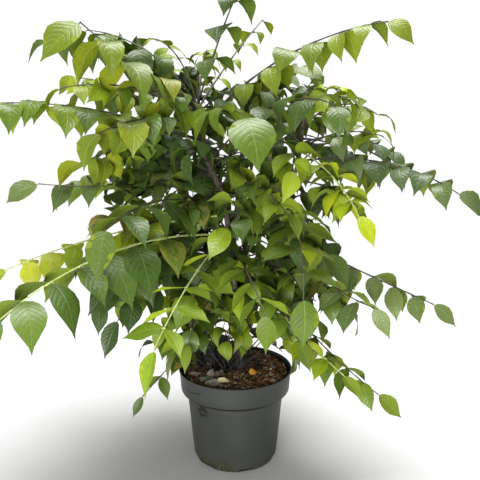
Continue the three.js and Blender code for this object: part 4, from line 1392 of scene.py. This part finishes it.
def chips_piece(settings):
    """Bark chips and short sticks: jittered blocks that lie about on the bed."""
    random = np.random.default_rng(CHIPS["seed"])
    count = settings.chips
    radius = CHIPS["bed"] * np.sqrt(random.random(count))
    heading = random.random(count) * 2 * np.pi
    centres = np.stack([radius * np.cos(heading), radius * np.sin(heading)], axis=1)
    middling = settings.chip_length / MM
    lengths = middling * random.lognormal(0.0, CHIPS["spread"], count).clip(*CHIPS["lengths"])
    widths = lengths * random.uniform(*CHIPS["widths"], count)
    heights = random.uniform(*CHIPS["heights"], count)
    sizes = np.stack([lengths, widths, heights], axis=1)
    signs = np.array([(x, y, z) for z in (-1, 1) for y in (-1, 1) for x in (-1, 1)]) / 2
    corners = signs[None] * sizes[:, None] * random.uniform(*CHIPS["jitter"], (count, 8, 3))
    yaw, tilt = random.random(count) * 2 * np.pi, random.normal(0, CHIPS["tilt"], count)
    run = corners[:, :, 0] * np.cos(tilt)[:, None] - corners[:, :, 2] * np.sin(tilt)[:, None]
    rise = corners[:, :, 0] * np.sin(tilt)[:, None] + corners[:, :, 2] * np.cos(tilt)[:, None]
    x = run * np.cos(yaw)[:, None] - corners[:, :, 1] * np.sin(yaw)[:, None]
    y = run * np.sin(yaw)[:, None] + corners[:, :, 1] * np.cos(yaw)[:, None]
    reach = np.hypot(x + centres[:, :1], y + centres[:, 1:])
    kept = np.flatnonzero((reach.max(1) < CHIPS["wall"]) & (radius > CHIPS["foot"]))
    ground = np.array([soil_height(*centres[index]) for index in kept])
    lift = random.uniform(*CHIPS["lift"], count)[kept]
    points = np.stack([x[kept] + centres[kept, :1], y[kept] + centres[kept, 1:],
                       rise[kept] + (ground + lift)[:, None]], axis=2)
    block = [(0, 2, 3, 1), (4, 5, 7, 6), (0, 1, 5, 4), (2, 6, 7, 3), (0, 4, 6, 2), (1, 3, 7, 5)]
    faces = [tuple(corner + 8 * number for corner in face) for number in range(len(kept)) for face in block]
    shares = [share for _, share in CHIP_COLOURS.values()]
    shades = random.choice(len(shares), size=len(kept), p=shares)
    away = np.hypot(centres[kept, 0] - DARK_SPOT[0], centres[kept, 1] - DARK_SPOT[1])
    darkened = random.random(len(kept)) < np.interp(away, DARK_CHIPS["away"], DARK_CHIPS["shares"])
    shades[darkened] = list(CHIP_COLOURS).index("Chip dark")
    return mesh_piece("bark_chips", points.reshape(-1, 3), faces, chip_materials(), np.repeat(shades, 6))


def scrap(x, y, lift, direction, face, slim, length, shade):
    """One dry scrap of leaf, its middle over a spot of the bed."""
    face = unit(face - direction * np.dot(face, direction))
    place = np.array([x, y, soil_height(x, y) + lift]) - direction * LITTER["back"]
    return {"place": place, "along": direction, "face": face, "side": np.cross(direction, face), "slim": slim,
            "length": length, "bend": ARCH["level"], "drop": 0.0, "shade": shade}


def litter_spots(settings, random):
    """Where each scrap lies, and its shade: those about the bed, the black heap and those at the rim."""
    spots = []
    for _ in range(settings.scraps):
        heading = math.pi * (LITTER["from"] + random.random())
        radius = LITTER["inner"] + LITTER["width"] * math.sqrt(random.random())
        spots.append((radius * math.cos(heading), radius * math.sin(heading)))
    spots += [DARK_SPOT + random.normal(0, LITTER["heap"], 2) for _ in range(settings.black_scraps)]
    spots += [RIM_SPOT + random.normal(0, RIM_HEAP, 2) for _ in range(settings.rim_scraps)]
    shades = [int(random.choice(len(DRY_SHARES), p=DRY_SHARES)) for _ in range(settings.scraps)]
    shades += [BLACK_SHADE] * settings.black_scraps + [GREY_SHADE] * settings.rim_scraps
    return zip(spots, shades)


def litter_piece(settings, leaf_settings):
    """Dry scraps of leaf on the bed, curled and lying every way, and two that catch the eye."""
    random = np.random.default_rng(LITTER["seed"])
    dealt = []
    for (x, y), shade in litter_spots(settings, random):
        kind = "black" if shade == BLACK_SHADE else "scrap"
        x, y = np.array([x, y]) * min(1.0, SCRAP_REACH / math.hypot(x, y))
        chance = random.random()
        yaw = chance * 2 * math.pi
        if math.hypot(x, y) > INWARD_FROM:
            yaw = math.atan2(-y, -x) + (chance - 0.5) * LITTER["turn"]
        tilt = random.normal(0, HEAP_TILT[kind])
        along = np.array([math.cos(yaw) * math.cos(tilt), math.sin(yaw) * math.cos(tilt), math.sin(tilt)])
        face = unit(UP + random.normal(0, HEAP_TILT[kind], 3))
        lift, slim, length = (
            random.uniform(*ends) for ends in (HEAP_LIFT[kind], LITTER["slim"], LITTER["length"]))
        dealt.append(scrap(x, y, lift, along, face, slim, length, shade))
    for shade, ((x, y), yaw, lean, slim, length) in enumerate(NAMED_SCRAPS, BLACK_SHADE + 1):
        along = np.array([math.cos(yaw), math.sin(yaw), 0.0])
        face = np.array([0.0, -math.sin(lean), math.cos(lean)])
        dealt.append(scrap(x, y, HEAP_LIFT["named"], along, face, slim, length, shade))
    for number, leaflet in enumerate(dealt):
        leaflet["seed"] = LITTER["blade_seed"] + number
    materials = [leaf_material(name, colour, *DRY_FACE) for name, colour in DRY_LEAVES.items()]
    shades = np.repeat([leaflet["shade"] for leaflet in dealt], len(BLADE_TEMPLATE))
    tones = [LITTER["tone"]] * len(dealt)
    return blades_piece("dry_leaves", dealt, materials, shades, tones, [0.0] * len(dealt), leaf_settings)


def twig_material():
    finish = Finish("Dead twig")
    grain = finish.patches("twig grain")
    base = finish.blend(grain, *TWIG_COLOURS)
    return finish.done(base, finish.between(grain, *ROUGH["twig"]), grain, *RELIEF["twig"])


def twigs_piece(settings):
    """Dead twigs, crooked and nearly black, that stand in the soil round the trunk's foot."""
    random = np.random.default_rng(TWIG["seed"])
    tubes = []
    for _ in range(settings.twigs):
        x, y = random.normal(*TWIG["x"]), random.normal(*TWIG["y"])
        lean = random.normal(0, TWIG["lean"], 2)
        place = np.array([x, y, soil_height(x, y) - TWIG["buried"]])
        places, height = [place], random.uniform(*TWIG["heights"])
        for _ in range(TWIG["steps"]):
            step = np.array([*(lean + random.normal(0, TWIG["bend"], 2)), 1.0])
            place = place + unit(step) * height / TWIG["steps"]
            places.append(place)
        thick = random.uniform(*TWIG["thick"])
        tubes.append((places, np.linspace(thick, thick * TWIG["end"], len(places)), TWIG["sides"], 0))
    return tubes_piece("dead_twigs", tubes, [twig_material()])


class SHRUB_OT_soil(bpy.types.Operator):
    """Builds the bed of soil with its bark chips, dry leaves and dead twigs"""

    bl_idname = "shrub.soil"
    bl_label = "Soil and litter"

    def execute(self, context):
        settings = context.scene.shrub_soil
        bed = soil_bed()
        bed.data.materials.append(soil_material())
        finish_piece(bed, "soil", "soil")
        finish_piece(chips_piece(settings), "soil", angle=20)
        finish_piece(litter_piece(settings, context.scene.shrub_leaves), "soil")
        finish_piece(twigs_piece(settings), "bark")
        return {"FINISHED"}


# Canes


def bark_material(settings):
    """Grey-brown bark with furrows, paler flakes and small round pores, and painted shade low down."""
    finish = Finish("Bark")
    furrow = finish.patches("bark furrow")
    flakes = finish.patches("bark flake")
    pores = finish.put("ShaderNodeTexVoronoi", {"Vector": finish.place, "Scale": PORES["scale"]})
    dots = finish.ramp(pores.outputs["Distance"], *PORES["ramp"])
    # Painted shade: the bark darkens low in the crown, where it stands in shade
    shaded = finish.ramp(finish.axes(finish.place)["Z"], *BARK_PAINTED_SHADE)
    base = finish.blend(furrow, settings.furrow, settings.bark)
    flaked, dotted = finish.times(flakes, FLAKE_SHARE), finish.times(dots, PORES["share"])
    for share, colour in ((flaked, "flake"), (dotted, "pore"), (shaded, "shaded")):
        base = finish.blend(share, base, BARK_COLOURS[colour])
    relief = finish.maths("ADD", furrow, finish.times(dots, PORES["relief"]))
    return finish.done(base, finish.between(furrow, *ROUGH["bark"]), relief, *RELIEF["bark"])


class SHRUB_OT_canes(bpy.types.Operator):
    """Builds the trunk and the boughs with their bark"""

    bl_idname = "shrub.canes"
    bl_label = "Trunk and boughs"

    def execute(self, context):
        canes = all_canes()
        material = bark_material(context.scene.shrub_canes)
        for number, (name, cane) in enumerate(canes.items()):
            heights = [row[1] for row in SHOWN if row[0] == name]
            scars = [cane.share_at(height) * cane.length for height in heights]
            piece = cane_piece(cane, scars, BARK_SEED_STEP * number, material)
            finish_piece(piece, "bark", name, angle=60)
        return {"FINISHED"}


# Leaves


class SHRUB_OT_leaves(bpy.types.Operator):
    """Builds the leaf stalks and leaflets, outer and inner"""

    bl_idname = "shrub.leaves"
    bl_label = "Leaves"

    def execute(self, context):
        settings = context.scene.shrub_leaves
        canes = all_canes()
        outer, inner = outer_leaves(canes), inner_leaves(canes, settings)
        clearance = Clearance([*CANES, "pot", "soil"])
        for number, leaf in enumerate(outer):
            clearance.keep_stalk(leaf, number)
        blades, stalks = leaf_materials(), stalk_materials()
        outer_dealt = dealt_leaflets(outer, clearance, 0)
        inner_dealt = dealt_leaflets(inner, clearance, len(outer))
        nodes = [leaf.node for leaf in outer]

        def own_tint(leaflet):
            """An ageing leaf is still green near its heel."""
            tint = leaflet["leaf"].tint
            return "bright" if tint == "yellow" and leaflet["share"] < AGEING_FROM else tint

        # Painted shade: near its heel an inner leaflet takes the darker tint
        def inner_tint(leaflet):
            tint = leaflet["leaf"].tint
            return SHADED.get(tint, tint) if leaflet["share"] < SHADED_UNTIL else tint

        leaflets = leaflets_piece("leaflets_outer", outer_dealt, blades, settings, own_tint)
        finish_piece(leaflets, "leaf_green", *nodes)
        finish_piece(leaflets_piece("leaflets_inner", inner_dealt, blades, settings, inner_tint), "leaf_dark")
        finish_piece(stalks_piece("stalks_outer", outer, outer_dealt, stalks, settings), "leaf_light", *nodes)
        finish_piece(stalks_piece("stalks_inner", inner, inner_dealt, stalks, settings), "leaf_deep")
        return {"FINISHED"}


# Stage


class SHRUB_OT_stage(bpy.types.Operator):
    """Builds the pale floor, the soft studio light and the camera"""

    bl_idname = "shrub.stage"
    bl_label = "Studio"

    def execute(self, context):
        settings = context.scene.shrub_stage
        self.add_floor(settings)
        self.add_backdrop(context, settings)
        for name, (place, size, share) in LIGHTS.items():
            self.add_light(name, place, size, settings.key_power * share)
        self.add_camera(context)
        return {"FINISHED"}

    @staticmethod
    def add_floor(settings):
        floor = disc("studio_floor", FLOOR["sides"], FLOOR["radius"])
        material = bpy.data.materials.new("Studio floor")
        material.use_nodes = True
        shader = material.node_tree.nodes["Principled BSDF"]
        shader.inputs["Base Color"].default_value = (*settings.floor, 1.0)
        shader.inputs["Roughness"].default_value = FLOOR["roughness"]
        floor.data.materials.append(material)

    @staticmethod
    def add_backdrop(context, settings):
        """White where the camera sees it, and a softer light for everything else."""
        world = bpy.data.worlds.new("Studio")
        world.use_nodes = True
        nodes = Nodes(world.node_tree)
        seen = nodes.put("ShaderNodeLightPath").outputs["Is Camera Ray"]
        backdrop = nodes.tree.nodes["Background"]
        nodes.feed(backdrop.inputs["Color"], (1.0, 1.0, 1.0))
        strength = nodes.maths("MAXIMUM", nodes.times(seen, BACKDROP), settings.sky)
        nodes.feed(backdrop.inputs["Strength"], strength)
        context.scene.world = world
        context.scene.view_settings.view_transform = "Standard"

    @staticmethod
    def add_light(name, place, size, power):
        bpy.ops.object.light_add(type="AREA", location=place)
        lamp = bpy.context.active_object
        lamp.name = name
        lamp.data.shape, lamp.data.size, lamp.data.energy = "DISK", size, power
        lamp.rotation_euler = (Vector(LIGHT_AIM) - lamp.location).to_track_quat("-Z", "Y").to_euler()

    @staticmethod
    def add_camera(context):
        tip = math.radians(90 - CAMERA["tip"])
        bpy.ops.object.camera_add(location=CAMERA["place"], rotation=(tip, 0, 0))
        camera = context.active_object
        camera.data.sensor_width, camera.data.lens = CAMERA["sensor"], CAMERA["lens"]
        context.scene.camera = camera


# Each group of settings by its name on the scene, with the operator that reads it, in building order
PIECES = {
    "shrub_stage": (StageSettings, SHRUB_OT_stage),
    "shrub_pot": (PotSettings, SHRUB_OT_pot),
    "shrub_soil": (SoilSettings, SHRUB_OT_soil),
    "shrub_canes": (CaneSettings, SHRUB_OT_canes),
    "shrub_leaves": (LeafSettings, SHRUB_OT_leaves),
}


class SHRUB_PT_panel(bpy.types.Panel):
    """Lists the pieces of the potted shrub and their settings"""

    bl_idname = "SHRUB_PT_panel"
    bl_label = "Potted shrub"
    bl_space_type = "VIEW_3D"
    bl_region_type = "UI"
    bl_category = "Shrub"

    def draw(self, context):
        for name, (group, operator) in PIECES.items():
            box = self.layout.box()
            for value in group.__annotations__:
                box.prop(getattr(context.scene, name), value)
            box.operator(operator.bl_idname)


def register():
    for name, (group, operator) in PIECES.items():
        bpy.utils.register_class(group)
        bpy.utils.register_class(operator)
        setattr(bpy.types.Scene, name, PointerProperty(type=group))
    bpy.utils.register_class(SHRUB_PT_panel)


def unregister():
    bpy.utils.unregister_class(SHRUB_PT_panel)
    for name, (group, operator) in PIECES.items():
        delattr(bpy.types.Scene, name)
        bpy.utils.unregister_class(operator)
        bpy.utils.unregister_class(group)


def main():
    register()
    bpy.ops.shrub.stage()
    bpy.ops.shrub.pot()
    bpy.ops.shrub.soil()
    bpy.ops.shrub.canes()
    bpy.ops.shrub.leaves()


if __name__ == "__main__":
    main()
